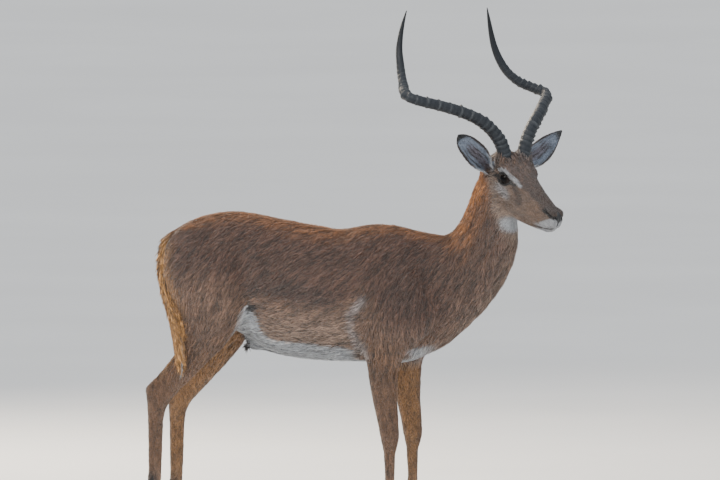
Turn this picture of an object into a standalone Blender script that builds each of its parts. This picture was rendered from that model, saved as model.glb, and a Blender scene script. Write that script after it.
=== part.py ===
"""Impala ram, standing square with the head turned to its right, as a life-size museum model.

Metres. +X is forward, +Y the animal's left and +Z up. The flesh is one skin: closed lofts of
the trunk, neck, legs, tail and head are joined by a voxel remesh, smoothed, and then parted
along thin cuts. Horns, ears, eyes and hooves are solids of their own.
"""

import math
from collections import namedtuple

import bmesh
import bpy
from mathutils import Euler, Matrix, Vector

# Driving sizes and stance
GAP = 0.0003
HEAD_TURN = math.radians(-38)
HEAD_PITCH = math.radians(23)
HEAD_ROLL = math.radians(-1)
EYES_MIDDLE = Vector((0.500, -0.072, 1.005))
EYE_CENTRE = Vector((-0.003, 0.0345, -0.004))
EYE_RADIUS = 0.0205
LEFT_FORELEG_LEAD = 0.042
LEFT_HINDLEG_LEAD = 0.037
LEFT_HOCK_DROP = 0.011
SOLE_TO_CORONET = 0.036
CORONET_SLOPE = 0.32

# How finely the flesh is made: its voxels, and the triangles that the whole of it would
# have at the body's fineness and at the head's
FLESH_VOXEL = 0.004
BODY_FINENESS = 3300
HEAD_FINENESS = 5200
RING_POINTS = 28
STEPS_BETWEEN = 4
LEG_STEPS_BETWEEN = 3
BODY_SQUARENESS = 2.2
HEAD_SQUARENESS = 2.3

# Rounds of smoothing: all over, then on the body above the legs, and on the head up to the
# muzzle, which starts this far forward in the head's own frame
ALL_ROUNDS = 4
BODY_ROUNDS = 24
HEAD_ROUNDS = 5
LEGS_BELOW = 0.47
HEAD_FROM = 0.36
MUZZLE_FROM = 0.13

# Where a leg's lead starts and ends, and where its hock drops most and not at all
ELBOW = 0.48
SHOULDER = 0.72
HOCK = 0.415
HIP = 0.64

SIDES = {"left": 1, "right": -1}

# A body section runs from a point on the topline to one on the underline. Egg is above 0
# where it is wider on top, and the last two are its shift to the left and its turn.
Section = namedtuple("Section", "top_x top_z low_x low_z half_width egg shift turn")
TRUNK_AND_NECK = [
    Section(-0.480, 0.800, -0.476, 0.722, 0.026, 0.00, 0.0, 0),
    Section(-0.464, 0.838, -0.464, 0.672, 0.060, 0.00, 0.0, 0),
    Section(-0.438, 0.862, -0.446, 0.632, 0.084, 0.05, 0.0, 0),
    Section(-0.398, 0.882, -0.400, 0.606, 0.098, 0.08, 0.0, 0),
    Section(-0.350, 0.896, -0.345, 0.590, 0.106, 0.06, 0.0, 0),
    Section(-0.290, 0.903, -0.285, 0.572, 0.110, 0.02, 0.0, 0),
    Section(-0.240, 0.898, -0.235, 0.543, 0.113, -0.02, 0.0, 0),
    Section(-0.190, 0.888, -0.190, 0.519, 0.119, -0.06, 0.0, 0),
    Section(-0.130, 0.877, -0.130, 0.500, 0.127, -0.08, 0.0, 0),
    Section(-0.060, 0.865, -0.060, 0.493, 0.132, -0.08, 0.0, 0),
    Section(0.005, 0.856, 0.005, 0.491, 0.132, -0.04, 0.0, 0),
    Section(0.060, 0.867, 0.065, 0.490, 0.125, 0.00, 0.0, 0),
    Section(0.115, 0.871, 0.125, 0.487, 0.112, 0.03, 0.0, 0),
    Section(0.168, 0.866, 0.185, 0.489, 0.100, 0.02, 0.0, 0),
    Section(0.216, 0.854, 0.240, 0.510, 0.090, -0.04, 0.0, 0),
    Section(0.260, 0.846, 0.300, 0.541, 0.082, -0.08, 0.0, 0),
    Section(0.295, 0.843, 0.350, 0.585, 0.076, -0.06, 0.0, 0),
    Section(0.316, 0.859, 0.398, 0.632, 0.070, -0.04, 0.0, -4),
    Section(0.332, 0.880, 0.440, 0.686, 0.065, -0.02, -0.003, -9),
    Section(0.344, 0.904, 0.472, 0.742, 0.060, 0.00, -0.008, -15),
    Section(0.354, 0.933, 0.491, 0.789, 0.056, 0.00, -0.016, -22),
    Section(0.363, 0.964, 0.500, 0.832, 0.052, 0.00, -0.026, -29),
    Section(0.374, 0.992, 0.500, 0.876, 0.047, 0.00, -0.037, -35),
    Section(0.396, 1.012, 0.494, 0.915, 0.040, 0.00, -0.048, -38),
]

SHEATH_MIDDLE = Vector((-0.228, 0.0, 0.546))
SHEATH_HALF = Vector((0.030, 0.014, 0.020))

# A leg slice is level: its height, its rear and front edges, its half width and how far out
# its middle is. Egg is above 0 where the front is the wider end.
Slice = namedtuple("Slice", "z back front half_width out egg")
FORELEG = [
    Slice(0.820, 0.100, 0.180, 0.016, 0.046, 0.0),
    Slice(0.765, 0.084, 0.228, 0.030, 0.060, 0.0),
    Slice(0.700, 0.066, 0.266, 0.040, 0.069, 0.0),
    Slice(0.640, 0.053, 0.288, 0.045, 0.073, 0.0),
    Slice(0.590, 0.052, 0.272, 0.045, 0.076, 0.0),
    Slice(0.550, 0.063, 0.232, 0.041, 0.078, 0.0),
    Slice(0.512, 0.078, 0.192, 0.036, 0.079, 0.0),
    Slice(0.478, 0.086, 0.175, 0.032, 0.080, 0.0),
    Slice(0.430, 0.093, 0.171, 0.0275, 0.080, 0.0),
    Slice(0.385, 0.102, 0.1705, 0.0250, 0.079, 0.0),
    Slice(0.350, 0.110, 0.172, 0.0232, 0.078, 0.0),
    Slice(0.320, 0.117, 0.1735, 0.0232, 0.078, 0.1),
    Slice(0.297, 0.120, 0.1755, 0.0240, 0.077, 0.15),
    Slice(0.273, 0.126, 0.172, 0.0215, 0.077, 0.1),
    Slice(0.248, 0.1305, 0.1650, 0.0165, 0.076, 0.0),
    Slice(0.205, 0.1335, 0.1630, 0.0145, 0.076, 0.0),
    Slice(0.165, 0.1340, 0.1625, 0.0140, 0.076, 0.0),
    Slice(0.132, 0.1320, 0.165, 0.0155, 0.076, 0.0),
    Slice(0.106, 0.1265, 0.171, 0.0195, 0.076, 0.0),
    Slice(0.085, 0.134, 0.173, 0.0175, 0.076, 0.0),
    Slice(0.066, 0.143, 0.178, 0.0175, 0.076, 0.0),
    Slice(0.046, 0.147, 0.188, 0.0205, 0.076, 0.0),
    Slice(0.020, 0.151, 0.200, 0.0205, 0.076, 0.0),
]
HINDLEG = [
    Slice(0.865, -0.430, -0.270, 0.026, 0.046, 0.0),
    Slice(0.825, -0.466, -0.243, 0.044, 0.055, 0.0),
    Slice(0.780, -0.478, -0.226, 0.056, 0.061, 0.0),
    Slice(0.735, -0.479, -0.219, 0.062, 0.065, 0.0),
    Slice(0.688, -0.467, -0.219, 0.063, 0.067, 0.0),
    Slice(0.640, -0.446, -0.236, 0.059, 0.068, 0.05),
    Slice(0.600, -0.432, -0.262, 0.052, 0.070, 0.10),
    Slice(0.560, -0.428, -0.290, 0.044, 0.071, 0.15),
    Slice(0.530, -0.435, -0.312, 0.037, 0.073, 0.20),
    Slice(0.505, -0.454, -0.338, 0.0315, 0.074, 0.25),
    Slice(0.480, -0.474, -0.364, 0.0270, 0.075, 0.30),
    Slice(0.455, -0.497, -0.389, 0.0235, 0.075, 0.35),
    Slice(0.434, -0.518, -0.410, 0.0210, 0.075, 0.30),
    Slice(0.420, -0.5290, -0.423, 0.0195, 0.075, 0.20),
    Slice(0.402, -0.5285, -0.4405, 0.0205, 0.075, 0.15),
    Slice(0.381, -0.5250, -0.459, 0.0212, 0.075, 0.10),
    Slice(0.358, -0.5225, -0.4715, 0.0205, 0.075, 0.05),
    Slice(0.335, -0.5215, -0.4765, 0.0185, 0.075, 0.0),
    Slice(0.300, -0.5210, -0.4785, 0.0160, 0.075, 0.0),
    Slice(0.250, -0.5210, -0.4800, 0.0145, 0.075, 0.0),
    Slice(0.170, -0.5195, -0.4835, 0.0135, 0.076, 0.0),
    Slice(0.135, -0.5205, -0.4835, 0.0150, 0.076, 0.0),
    Slice(0.108, -0.5250, -0.4785, 0.0195, 0.076, 0.0),
    Slice(0.086, -0.5185, -0.4755, 0.0175, 0.076, 0.0),
    Slice(0.066, -0.5085, -0.4725, 0.0175, 0.076, 0.0),
    Slice(0.046, -0.5025, -0.4630, 0.0205, 0.076, 0.0),
    Slice(0.020, -0.4975, -0.4510, 0.0205, 0.076, 0.0),
]

# The head has its own frame: forward along the skull, out to the left and up, from the
# middle between the eyes.
HeadSection = namedtuple("HeadSection", "forward top low half_width egg")
HEAD = [
    HeadSection(-0.112, 0.012, -0.062, 0.034, 0.0),
    HeadSection(-0.092, 0.036, -0.086, 0.044, 0.0),
    HeadSection(-0.058, 0.052, -0.102, 0.050, 0.05),
    HeadSection(-0.022, 0.051, -0.112, 0.051, 0.15),
    HeadSection(0.012, 0.042, -0.111, 0.046, 0.20),
    HeadSection(0.045, 0.030, -0.107, 0.039, 0.15),
    HeadSection(0.080, 0.016, -0.102, 0.034, 0.05),
    HeadSection(0.110, 0.005, -0.097, 0.0305, 0.0),
    HeadSection(0.140, -0.005, -0.091, 0.0280, -0.05),
    HeadSection(0.164, -0.013, -0.084, 0.0255, -0.05),
    HeadSection(0.181, -0.021, -0.074, 0.0210, 0.0),
    HeadSection(0.191, -0.031, -0.060, 0.0120, 0.0),
]

# Rounded masses on each side of the head: forward, out, up, their three radii and pitch.
Mass = namedtuple("Mass", "forward out up long wide high pitch")
HEAD_MASSES = {
    "orbit": Mass(-0.002, 0.0295, 0.001, 0.037, 0.0210, 0.030, 10),
    "brow": Mass(0.002, 0.0355, 0.023, 0.036, 0.0220, 0.014, 12),
    "before_eye": Mass(0.034, 0.0260, -0.008, 0.042, 0.0175, 0.026, 25),
    "under_eye": Mass(0.014, 0.0300, -0.032, 0.050, 0.0170, 0.024, 25),
    "cheek": Mass(-0.020, 0.0310, -0.066, 0.044, 0.0175, 0.042, 0),
    "horn_root": Mass(-0.040, 0.0340, 0.034, 0.028, 0.0225, 0.021, 0),
    "ear_root": Mass(-0.074, 0.0400, 0.002, 0.026, 0.0200, 0.028, 0),
    "nostril": Mass(0.171, 0.0130, -0.029, 0.023, 0.0130, 0.015, 20),
    "upper_lip": Mass(0.168, 0.0110, -0.052, 0.025, 0.0150, 0.014, 5),
    "lower_lip": Mass(0.157, 0.0065, -0.077, 0.023, 0.0130, 0.009, 0),
}

# The horn's middle line from its root on the skull: forward, out, up, and its radius.
# Its rings rise and fall by the ridge depth over the ridged share of its length.
HORN_ROOT = Vector((-0.038, 0.0, 0.052))
HornPoint = namedtuple("HornPoint", "forward out up radius")
HORN = [
    HornPoint(0.012, 0.026, -0.022, 0.0190),
    HornPoint(0.000, 0.036, 0.000, 0.0190),
    HornPoint(-0.017, 0.050, 0.030, 0.0185),
    HornPoint(-0.037, 0.075, 0.057, 0.0180),
    HornPoint(-0.060, 0.110, 0.078, 0.0174),
    HornPoint(-0.092, 0.152, 0.088, 0.0166),
    HornPoint(-0.130, 0.198, 0.090, 0.0158),
    HornPoint(-0.165, 0.238, 0.088, 0.0151),
    HornPoint(-0.196, 0.258, 0.086, 0.0145),
    HornPoint(-0.228, 0.247, 0.084, 0.0138),
    HornPoint(-0.262, 0.222, 0.087, 0.0130),
    HornPoint(-0.298, 0.203, 0.101, 0.0121),
    HornPoint(-0.328, 0.191, 0.124, 0.0108),
    HornPoint(-0.353, 0.183, 0.151, 0.0092),
    HornPoint(-0.371, 0.175, 0.182, 0.0072),
    HornPoint(-0.385, 0.166, 0.215, 0.0048),
    HornPoint(-0.397, 0.155, 0.250, 0.0012),
]
HORN_SIDES = 10
RIDGES = 14
RIDGED_SHARE = 0.66
RIDGE_DEPTH = 0.0013
RIDGES_FADE_OVER = 0.12

# The ear: from its root to its tip, and along it the half width and how far round it cups.
# Each ear's mouth is turned its own way, and its middle line bows its own way.
EAR_ROOT = Vector((-0.072, 0.048, -0.004))
EAR_TIP = Vector((-0.076, 0.199, 0.099))
EAR_BOWS = {"left": Vector((0, 0, -0.015)), "right": Vector((0, 0, 0.003))}
EAR_MOUTHS = {"left": Vector((0.80, -0.30, 0.42)), "right": Vector((1.0, 0.30, -0.12))}
EAR_THICKNESS = 0.0034
EarBand = namedtuple("EarBand", "along half_width cup")
EAR = [
    EarBand(0.00, 0.0150, 2.50),
    EarBand(0.14, 0.0190, 2.20),
    EarBand(0.28, 0.0270, 1.60),
    EarBand(0.44, 0.0320, 1.25),
    EarBand(0.60, 0.0318, 1.00),
    EarBand(0.76, 0.0255, 0.85),
    EarBand(0.90, 0.0140, 0.70),
    EarBand(1.00, 0.0030, 0.60),
]
EAR_POINTS = 6

# The tail hangs from the rump and round the right buttock: its middle line and half sizes.
TailPoint = namedtuple("TailPoint", "x y z half_thick half_wide")
TAIL = [
    TailPoint(-0.446, 0.000, 0.842, 0.012, 0.020),
    TailPoint(-0.474, 0.000, 0.826, 0.013, 0.021),
    TailPoint(-0.490, -0.004, 0.786, 0.012, 0.021),
    TailPoint(-0.492, -0.020, 0.736, 0.012, 0.021),
    TailPoint(-0.478, -0.048, 0.680, 0.012, 0.020),
    TailPoint(-0.455, -0.082, 0.620, 0.013, 0.019),
    TailPoint(-0.437, -0.106, 0.560, 0.014, 0.018),
    TailPoint(-0.429, -0.118, 0.512, 0.013, 0.016),
    TailPoint(-0.424, -0.122, 0.478, 0.008, 0.010),
    TailPoint(-0.421, -0.123, 0.458, 0.003, 0.004),
]
TAIL_SIDES = 10

# Hoof claws, two to a foot, wider at the sole than at the coronet
CLAW_LENGTH = 0.060
CLAW_TOP_LENGTH = 0.044
CLAW_WIDTH = 0.0205
CLAW_GAP = 0.0024
CLAW_POINTS = 12
CLAW_NARROWS = 0.32
CLAW_INNER_SHARE = 0.7
TOE_AHEAD = 0.007

# Cuts between the flesh parts. A leg's block has its top at this height in the middle of
# the body, and it rises outwards and reaches from back to front.
LegCut = namedtuple("LegCut", "back front top rise")
FORELEG_CUT = LegCut(0.062, 0.330, 0.455, 0.9)
HINDLEG_CUT = LegCut(-0.620, -0.240, 0.500, 1.3)
LEG_CUT_INNER = 0.004
LEG_CUT_OUTER = 0.30
LEG_CUT_LOW = -0.1
FOOT_CUT_REACH = 0.1
CUT_REACH = 1.2
NECK_CUT = (Vector((0.235, 0.0, 0.850)), math.radians(-18.7))
HEAD_CUT = (Vector((-0.105, 0.0, 0.030)), math.radians(-38.9))

# Colour and roughness of each kind of piece
FINISHES = {
    "trunk": ((0.30, 0.15, 0.075), 0.85),
    "neck": ((0.31, 0.16, 0.085), 0.85),
    "head": ((0.30, 0.17, 0.095), 0.80),
    "foreleg": ((0.38, 0.22, 0.12), 0.85),
    "hindleg": ((0.38, 0.22, 0.12), 0.85),
    "tail": ((0.45, 0.20, 0.08), 0.90),
    "ear": ((0.40, 0.28, 0.20), 0.80),
    "horn": ((0.055, 0.050, 0.048), 0.55),
    "eye": ((0.012, 0.009, 0.008), 0.08),
    "hoof": ((0.030, 0.027, 0.025), 0.50),
}
SHARP_ANGLE = math.radians(50)


def clear_scene():
    for old in list(bpy.data.objects):
        bpy.data.objects.remove(old)


def material(name, colour, roughness):
    made = bpy.data.materials.new(name)
    made.use_nodes = True
    shader = made.node_tree.nodes["Principled BSDF"]
    shader.inputs["Base Color"].default_value = (*colour, 1)
    shader.inputs["Roughness"].default_value = roughness
    return made


# ---- Curves, rings and lofts


def catmull_rom(a, b, c, d, t):
    bend = 2 * a - 5 * b + 4 * c - d
    return 0.5 * (2 * b + (c - a) * t + bend * t * t + (3 * b - a - 3 * c + d) * t**3)


def smoothed_table(rows, steps=STEPS_BETWEEN):
    """The rows of a table with steps between each two, on a Catmull-Rom curve."""
    kind = type(rows[0])
    found = []
    for i in range(len(rows) - 1):
        four = [rows[max(i - 1, 0)], rows[i], rows[i + 1], rows[min(i + 2, len(rows) - 1)]]
        for k in range(steps):
            found.append(kind(*(catmull_rom(*values, k / steps) for values in zip(*four))))
    return found + [rows[-1]]


def oval(centre, up, side, egg=0.0, square=BODY_SQUARENESS, count=RING_POINTS):
    """A ring of points round centre. Up and side are its half axes, egg widens its up end."""
    ring = []
    for i in range(count):
        angle = 2 * math.pi * i / count
        rise = math.copysign(abs(math.cos(angle)) ** (2 / square), math.cos(angle))
        reach = math.copysign(abs(math.sin(angle)) ** (2 / square), math.sin(angle))
        ring.append(centre + up * rise + side * reach * (1 + egg * rise))
    return ring


def rings_along(points, halves, count):
    """Rings square to a line of points, each with its (thick, wide) half sizes."""
    rings = []
    across = Vector((0, 1, 0))
    for i, point in enumerate(points):
        ahead = points[min(i + 1, len(points) - 1)] - points[max(i - 1, 0)]
        across = (across - ahead * (across.dot(ahead) / ahead.length_squared)).normalized()
        thick, wide = halves[i]
        upward = ahead.cross(across).normalized()
        rings.append(oval(point, upward * thick, across * wide, 0, 2, count))
    return rings


def loft(name, rings):
    """A closed skin through rings of equal count."""
    mesh = bmesh.new()
    loops = []
    for ring in rings:
        points = [mesh.verts.new(p) for p in ring]
        loops.append([mesh.edges.new((points[i - 1], points[i])) for i in range(len(points))])
    for first, second in zip(loops, loops[1:]):
        bmesh.ops.bridge_loops(mesh, edges=first + second)
    for end in (loops[0], loops[-1]):
        bmesh.ops.holes_fill(mesh, edges=end, sides=0)
    bmesh.ops.recalc_face_normals(mesh, faces=mesh.faces)
    return as_object(name, mesh)


# ---- Objects and their cuts


def as_object(name, mesh):
    data = bpy.data.meshes.new(name)
    mesh.to_mesh(data)
    mesh.free()
    return linked(name, data)


def linked(name, data):
    made = bpy.data.objects.new(name, data)
    bpy.context.scene.collection.objects.link(made)
    return made


def discard(*things):
    for thing in things:
        bpy.data.objects.remove(thing)


def joined(name, things):
    """One object with all the shells of the things, which it takes the place of."""
    mesh = bmesh.new()
    for thing in things:
        mesh.from_mesh(thing.data)
    discard(*things)
    return as_object(name, mesh)


def baked(thing):
    """Applies an object's modifiers to its mesh."""
    bpy.context.view_layer.update()
    graph = bpy.context.evaluated_depsgraph_get()
    data = bpy.data.meshes.new_from_object(thing.evaluated_get(graph))
    thing.modifiers.clear()
    thing.data = data
    return thing


def boolean(thing, other, operation):
    cut = thing.modifiers.new(operation.lower(), "BOOLEAN")
    cut.operation = operation
    cut.object = other
    return baked(thing)


def grown(thing):
    """A copy of a thing, larger by the gap that neighbours keep."""
    made = linked(thing.name + "_grown", thing.data.copy())
    push = made.modifiers.new("grow", "DISPLACE")
    push.mid_level = 0
    push.strength = GAP
    return baked(made)


def cut_clear(thing, *others):
    """Cuts each other, grown by the gap, from the thing."""
    for other in others:
        room = grown(other)
        boolean(thing, room, "DIFFERENCE")
        discard(room)
    return thing


def part_off(whole, name, make_cutter):
    """Cuts the piece inside a cutter from the whole, and leaves the gap between the two."""
    inside = make_cutter(0)
    piece = boolean(linked(name, whole.data.copy()), inside, "INTERSECT")
    outside = make_cutter(GAP)
    boolean(whole, outside, "DIFFERENCE")
    discard(inside, outside)
    return piece


def slanted_block(x_range, y_range, z_range, rise=0.0, slope=0.0, grow=0.0):
    """A box whose top rises outwards by rise, and whose bottom and top rise forwards by slope."""
    mesh = bmesh.new()
    bmesh.ops.create_cube(mesh, size=1)
    middle = sum(x_range) / 2
    for corner in mesh.verts:
        x = x_range[0] - grow if corner.co.x < 0 else x_range[1] + grow
        y = y_range[0] - grow if corner.co.y < 0 else y_range[1] + grow
        z = z_range[0] - grow if corner.co.z < 0 else z_range[1] + grow
        is_top = corner.co.z > 0
        corner.co = (x, y, z + is_top * rise * abs(y) + slope * (x - middle))
    return as_object("block", mesh)


def half_space(place, matrix, grow):
    """A large box in front of a plane, which lies at a point and is turned about Y."""
    point, turn = place
    both_ways = (-CUT_REACH, CUT_REACH)
    made = slanted_block((0, CUT_REACH), both_ways, both_ways, grow=grow)
    made.data.transform(Matrix.Translation(point) @ Matrix.Rotation(turn, 4, "Y"))
    made.data.transform(matrix)
    return made


# ---- Flesh


def on_side(point, place):
    """A point of the left side, or its mirror image on the right."""
    return Vector((point.x, SIDES[place] * point.y, point.z))


def head_matrix():
    turned = Euler((HEAD_ROLL, HEAD_PITCH, HEAD_TURN), "XYZ").to_matrix().to_4x4()
    return Matrix.Translation(EYES_MIDDLE) @ turned


def trunk_and_neck():
    rings = []
    for s in smoothed_table(TRUNK_AND_NECK):
        turned = Matrix.Rotation(math.radians(s.turn), 3, "Z")
        top = Vector((s.top_x, s.shift, s.top_z))
        low = Vector((s.low_x, s.shift, s.low_z))
        side = turned @ Vector((0, s.half_width, 0))
        rings.append(oval((top + low) / 2, turned @ ((top - low) / 2), side, s.egg))
    return loft("trunk_and_neck", rings)


def lead_at(z, lead):
    """How far forward a leg slice is carried: all of lead below the elbow, none on top."""
    return lead * min(max((SHOULDER - z) / (SHOULDER - ELBOW), 0), 1)


def drop_at(z, drop):
    """How far down a hind leg slice is carried: most at the hock, none at foot and hip."""
    return drop * max(min(z / HOCK, (HIP - z) / (HIP - HOCK)), 0)


def leg(slices, side, lead, drop=0.0):
    rings = []
    for s in smoothed_table(slices, LEG_STEPS_BETWEEN):
        middle = (s.back + s.front) / 2 + lead_at(s.z, lead)
        centre = Vector((middle, side * s.out, s.z - drop_at(s.z, drop)))
        along = Vector(((s.front - s.back) / 2, 0, 0))
        rings.append(oval(centre, along, Vector((0, s.half_width, 0)), s.egg))
    return loft("leg_loft", rings)


def head_loft():
    rings = []
    for s in smoothed_table(HEAD):
        centre = Vector((s.forward, 0, (s.top + s.low) / 2))
        half = Vector((0, 0, (s.top - s.low) / 2))
        rings.append(oval(centre, half, Vector((0, s.half_width, 0)), s.egg, HEAD_SQUARENESS))
    made = loft("head_loft", rings)
    made.data.transform(head_matrix())
    return made


def sheath():
    """The fold of skin under the belly, just before the groin."""
    mesh = bmesh.new()
    bmesh.ops.create_icosphere(mesh, subdivisions=3, radius=1)
    made = as_object("sheath", mesh)
    made.data.transform(Matrix.Translation(SHEATH_MIDDLE) @ Matrix.Diagonal((*SHEATH_HALF, 1)))
    return made


def head_mass(mass, side):
    mesh = bmesh.new()
    bmesh.ops.create_icosphere(mesh, subdivisions=3, radius=1)
    made = as_object("head_mass", mesh)
    place = Matrix.Translation((mass.forward, side * mass.out, mass.up))
    turn = Matrix.Rotation(math.radians(mass.pitch), 4, "Y")
    made.data.transform(place @ turn @ Matrix.Diagonal((mass.long, mass.wide, mass.high, 1)))
    made.data.transform(head_matrix())
    return made


def flesh():
    """Trunk, neck, head and legs as one closed skin."""
    lofts = [trunk_and_neck(), sheath(), head_loft()]
    for side, foreleg_lead, hindleg_lead, drop in (
        (SIDES["right"], 0, 0, 0),
        (SIDES["left"], LEFT_FORELEG_LEAD, LEFT_HINDLEG_LEAD, LEFT_HOCK_DROP),
    ):
        lofts.append(leg(FORELEG, side, foreleg_lead))
        lofts.append(leg(HINDLEG, side, hindleg_lead, drop))
        for mass in HEAD_MASSES.values():
            lofts.append(head_mass(mass, side))
    made = joined("flesh", lofts)
    remesh = made.modifiers.new("one_skin", "REMESH")
    remesh.mode = "VOXEL"
    remesh.voxel_size = FLESH_VOXEL
    baked(made)
    to_head = head_matrix().inverted()
    soften(made, lambda p: True, ALL_ROUNDS)
    soften(made, lambda p: p.z > LEGS_BELOW and p.x < HEAD_FROM, BODY_ROUNDS)
    soften(made, lambda p: p.x > HEAD_FROM and (to_head @ p).x < MUZZLE_FROM, HEAD_ROUNDS)
    return made


def soften(thing, is_soft, rounds):
    """Smooths the points that is_soft says yes to."""
    group = thing.vertex_groups.new(name="soften")
    chosen = [point.index for point in thing.data.vertices if is_soft(point.co)]
    group.add(chosen, 1.0, "REPLACE")
    smooth = thing.modifiers.new("soften", "SMOOTH")
    smooth.factor = 0.5
    smooth.iterations = rounds
    smooth.vertex_group = group.name
    baked(thing)
    thing.vertex_groups.clear()


def thinned(thing, triangles):
    """Collapses the mesh to about this many triangles, fewest where it is flattest."""
    now = sum(len(face.vertices) - 2 for face in thing.data.polygons)
    thin = thing.modifiers.new("thin", "DECIMATE")
    thin.ratio = triangles / now
    return baked(thing)


def head_cutter(grow):
    return half_space(HEAD_CUT, head_matrix(), grow)


def leg_cutter(cut, side, lead):
    """The block that takes one leg: on its own side of the middle, under a slanted top."""
    y_range = tuple(sorted((side * LEG_CUT_INNER, side * LEG_CUT_OUTER)))

    def make(grow):
        x_range = (cut.back + lead, cut.front + lead)
        return slanted_block(x_range, y_range, (LEG_CUT_LOW, cut.top), cut.rise, grow=grow)

    return make


def foot_middle(slices, lead):
    """Where a foot's middle is, fore and aft, at its coronet."""
    around = slices[-2:]
    return sum(s.back + s.front for s in around) / (2 * len(around)) + lead


def trim_foot(leg_piece, middle):
    """Cuts a leg off at its coronet, where its hooves begin."""
    x_range = (middle - FOOT_CUT_REACH, middle + FOOT_CUT_REACH)
    y_range = (-LEG_CUT_OUTER, LEG_CUT_OUTER)
    z_range = (LEG_CUT_LOW, SOLE_TO_CORONET)
    below = slanted_block(x_range, y_range, z_range, slope=CORONET_SLOPE)
    boolean(leg_piece, below, "DIFFERENCE")
    discard(below)


# ---- Hooves, horns, ears, eyes and tail


def claw(name, middle_x, middle_y, inward):
    """One claw: an oval with a narrow toe and a flat inner wall, and a level sole."""
    rings = []
    top = SOLE_TO_CORONET - GAP
    for share in (0, 0.5, 1):
        length = CLAW_LENGTH + (CLAW_TOP_LENGTH - CLAW_LENGTH) * share
        ahead = TOE_AHEAD * (1 - share)
        ring = []
        for i in range(CLAW_POINTS):
            angle = 2 * math.pi * i / CLAW_POINTS
            x = math.cos(angle) * length / 2
            y = math.sin(angle) * CLAW_WIDTH / 2 * (1 - CLAW_NARROWS * math.cos(angle))
            is_inner = y * inward > 0
            y *= CLAW_INNER_SHARE if is_inner else 1
            height = (top + CORONET_SLOPE * x) * share
            ring.append(Vector((middle_x + ahead + x, middle_y + y, height)))
        rings.append(ring)
    return loft(name, rings)


def hooves(leg_name, middle_x, side, out):
    """The two claws of one foot."""
    made = []
    apart = (CLAW_WIDTH * CLAW_INNER_SHARE + CLAW_GAP) / 2
    for place, direction in (("inner", -side), ("outer", side)):
        middle_y = side * out + direction * apart
        name = f"hoof_{leg_name}_{place}"
        made.append(claw(name, middle_x, middle_y, -direction))
    return made


def ridge(share):
    """The depth of the horn's rings at a share of its length: they fade towards the tip."""
    return RIDGE_DEPTH * min(max((RIDGED_SHARE - share) / RIDGES_FADE_OVER, 0), 1)


def horn(place):
    """A ringed horn, swept along its curve and tapered."""
    rows = smoothed_table(HORN)
    middle = [on_side(HORN_ROOT + Vector((p.forward, p.out, p.up)), place) for p in rows]
    lengths = [0.0]
    for first, second in zip(middle, middle[1:]):
        lengths.append(lengths[-1] + (second - first).length)
    points = []
    halves = []
    count = round(2 * RIDGES / RIDGED_SHARE)
    for i in range(count):
        share = i / (count - 1)
        point, radius = at_length(middle, rows, lengths, share * lengths[-1])
        swell = ridge(share) * (1 if i % 2 else -1)
        points.append(point)
        halves.append((radius + swell, radius + swell))
    made = loft("horn_" + place, rings_along(points, halves, HORN_SIDES))
    made.data.transform(head_matrix())
    return made


def at_length(middle, rows, lengths, length):
    """The point and the radius at a length along the horn."""
    for i in range(1, len(lengths)):
        if lengths[i] >= length or i == len(lengths) - 1:
            t = (length - lengths[i - 1]) / (lengths[i] - lengths[i - 1])
            radius = rows[i - 1].radius + (rows[i].radius - rows[i - 1].radius) * t
            return middle[i - 1].lerp(middle[i], t), radius
    return middle[-1], rows[-1].radius


def ear(place):
    """A leaf-shaped shell, rolled to a tube at its root and open to its mouth's side."""
    root = on_side(EAR_ROOT, place)
    tip = on_side(EAR_TIP, place)
    along = (tip - root).normalized()
    mouth = on_side(EAR_MOUTHS[place], place)
    mouth = (mouth - along * mouth.dot(along)).normalized()
    across = along.cross(mouth)
    rings = []
    for band in smoothed_table(EAR, steps=2):
        centre = root.lerp(tip, band.along) + EAR_BOWS[place] * math.sin(math.pi * band.along)
        radius = band.half_width / math.sin(min(band.cup, math.pi / 2))
        ring = []
        for layer, reach in ((1, radius), (-1, radius - EAR_THICKNESS)):
            for i in range(EAR_POINTS):
                angle = layer * band.cup * (2 * i / (EAR_POINTS - 1) - 1)
                bent = across * math.sin(angle) - mouth * math.cos(angle)
                ring.append(centre + mouth * radius + bent * reach)
        rings.append(ring)
    made = loft("ear_" + place, rings)
    made.data.transform(head_matrix())
    return made


def eye(place):
    mesh = bmesh.new()
    bmesh.ops.create_icosphere(mesh, subdivisions=3, radius=EYE_RADIUS)
    made = as_object("eye_" + place, mesh)
    made.data.transform(head_matrix() @ Matrix.Translation(on_side(EYE_CENTRE, place)))
    return made


def tail():
    rows = smoothed_table(TAIL, steps=2)
    middle = [Vector((p.x, p.y, p.z)) for p in rows]
    halves = [(p.half_thick, p.half_wide) for p in rows]
    return loft("tail", rings_along(middle, halves, TAIL_SIDES))


# ---- The animal


def parted_flesh():
    """The flesh in its named parts, by name: neck, head and legs cut off, trunk left over."""
    whole = flesh()
    finer = thinned(linked("finer", whole.data.copy()), HEAD_FINENESS)
    thinned(whole, BODY_FINENESS)
    pieces = {"head": part_off(finer, "head", head_cutter)}
    discard(finer, part_off(whole, "head_room", head_cutter))
    upright = Matrix.Identity(4)
    pieces["neck"] = part_off(whole, "neck", lambda grow: half_space(NECK_CUT, upright, grow))
    for place, side in SIDES.items():
        is_left = place == "left"
        for kind, cut, slices, lead in (
            ("foreleg", FORELEG_CUT, FORELEG, LEFT_FORELEG_LEAD * is_left),
            ("hindleg", HINDLEG_CUT, HINDLEG, LEFT_HINDLEG_LEAD * is_left),
        ):
            name = f"{kind}_{place}"
            pieces[name] = part_off(whole, name, leg_cutter(cut, side, lead))
            middle = foot_middle(slices, lead)
            trim_foot(pieces[name], middle)
            for made in hooves(name.replace("leg", ""), middle, side, slices[-1].out):
                pieces[made.name] = made
    whole.name = "trunk"
    pieces["trunk"] = whole
    return pieces


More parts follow.
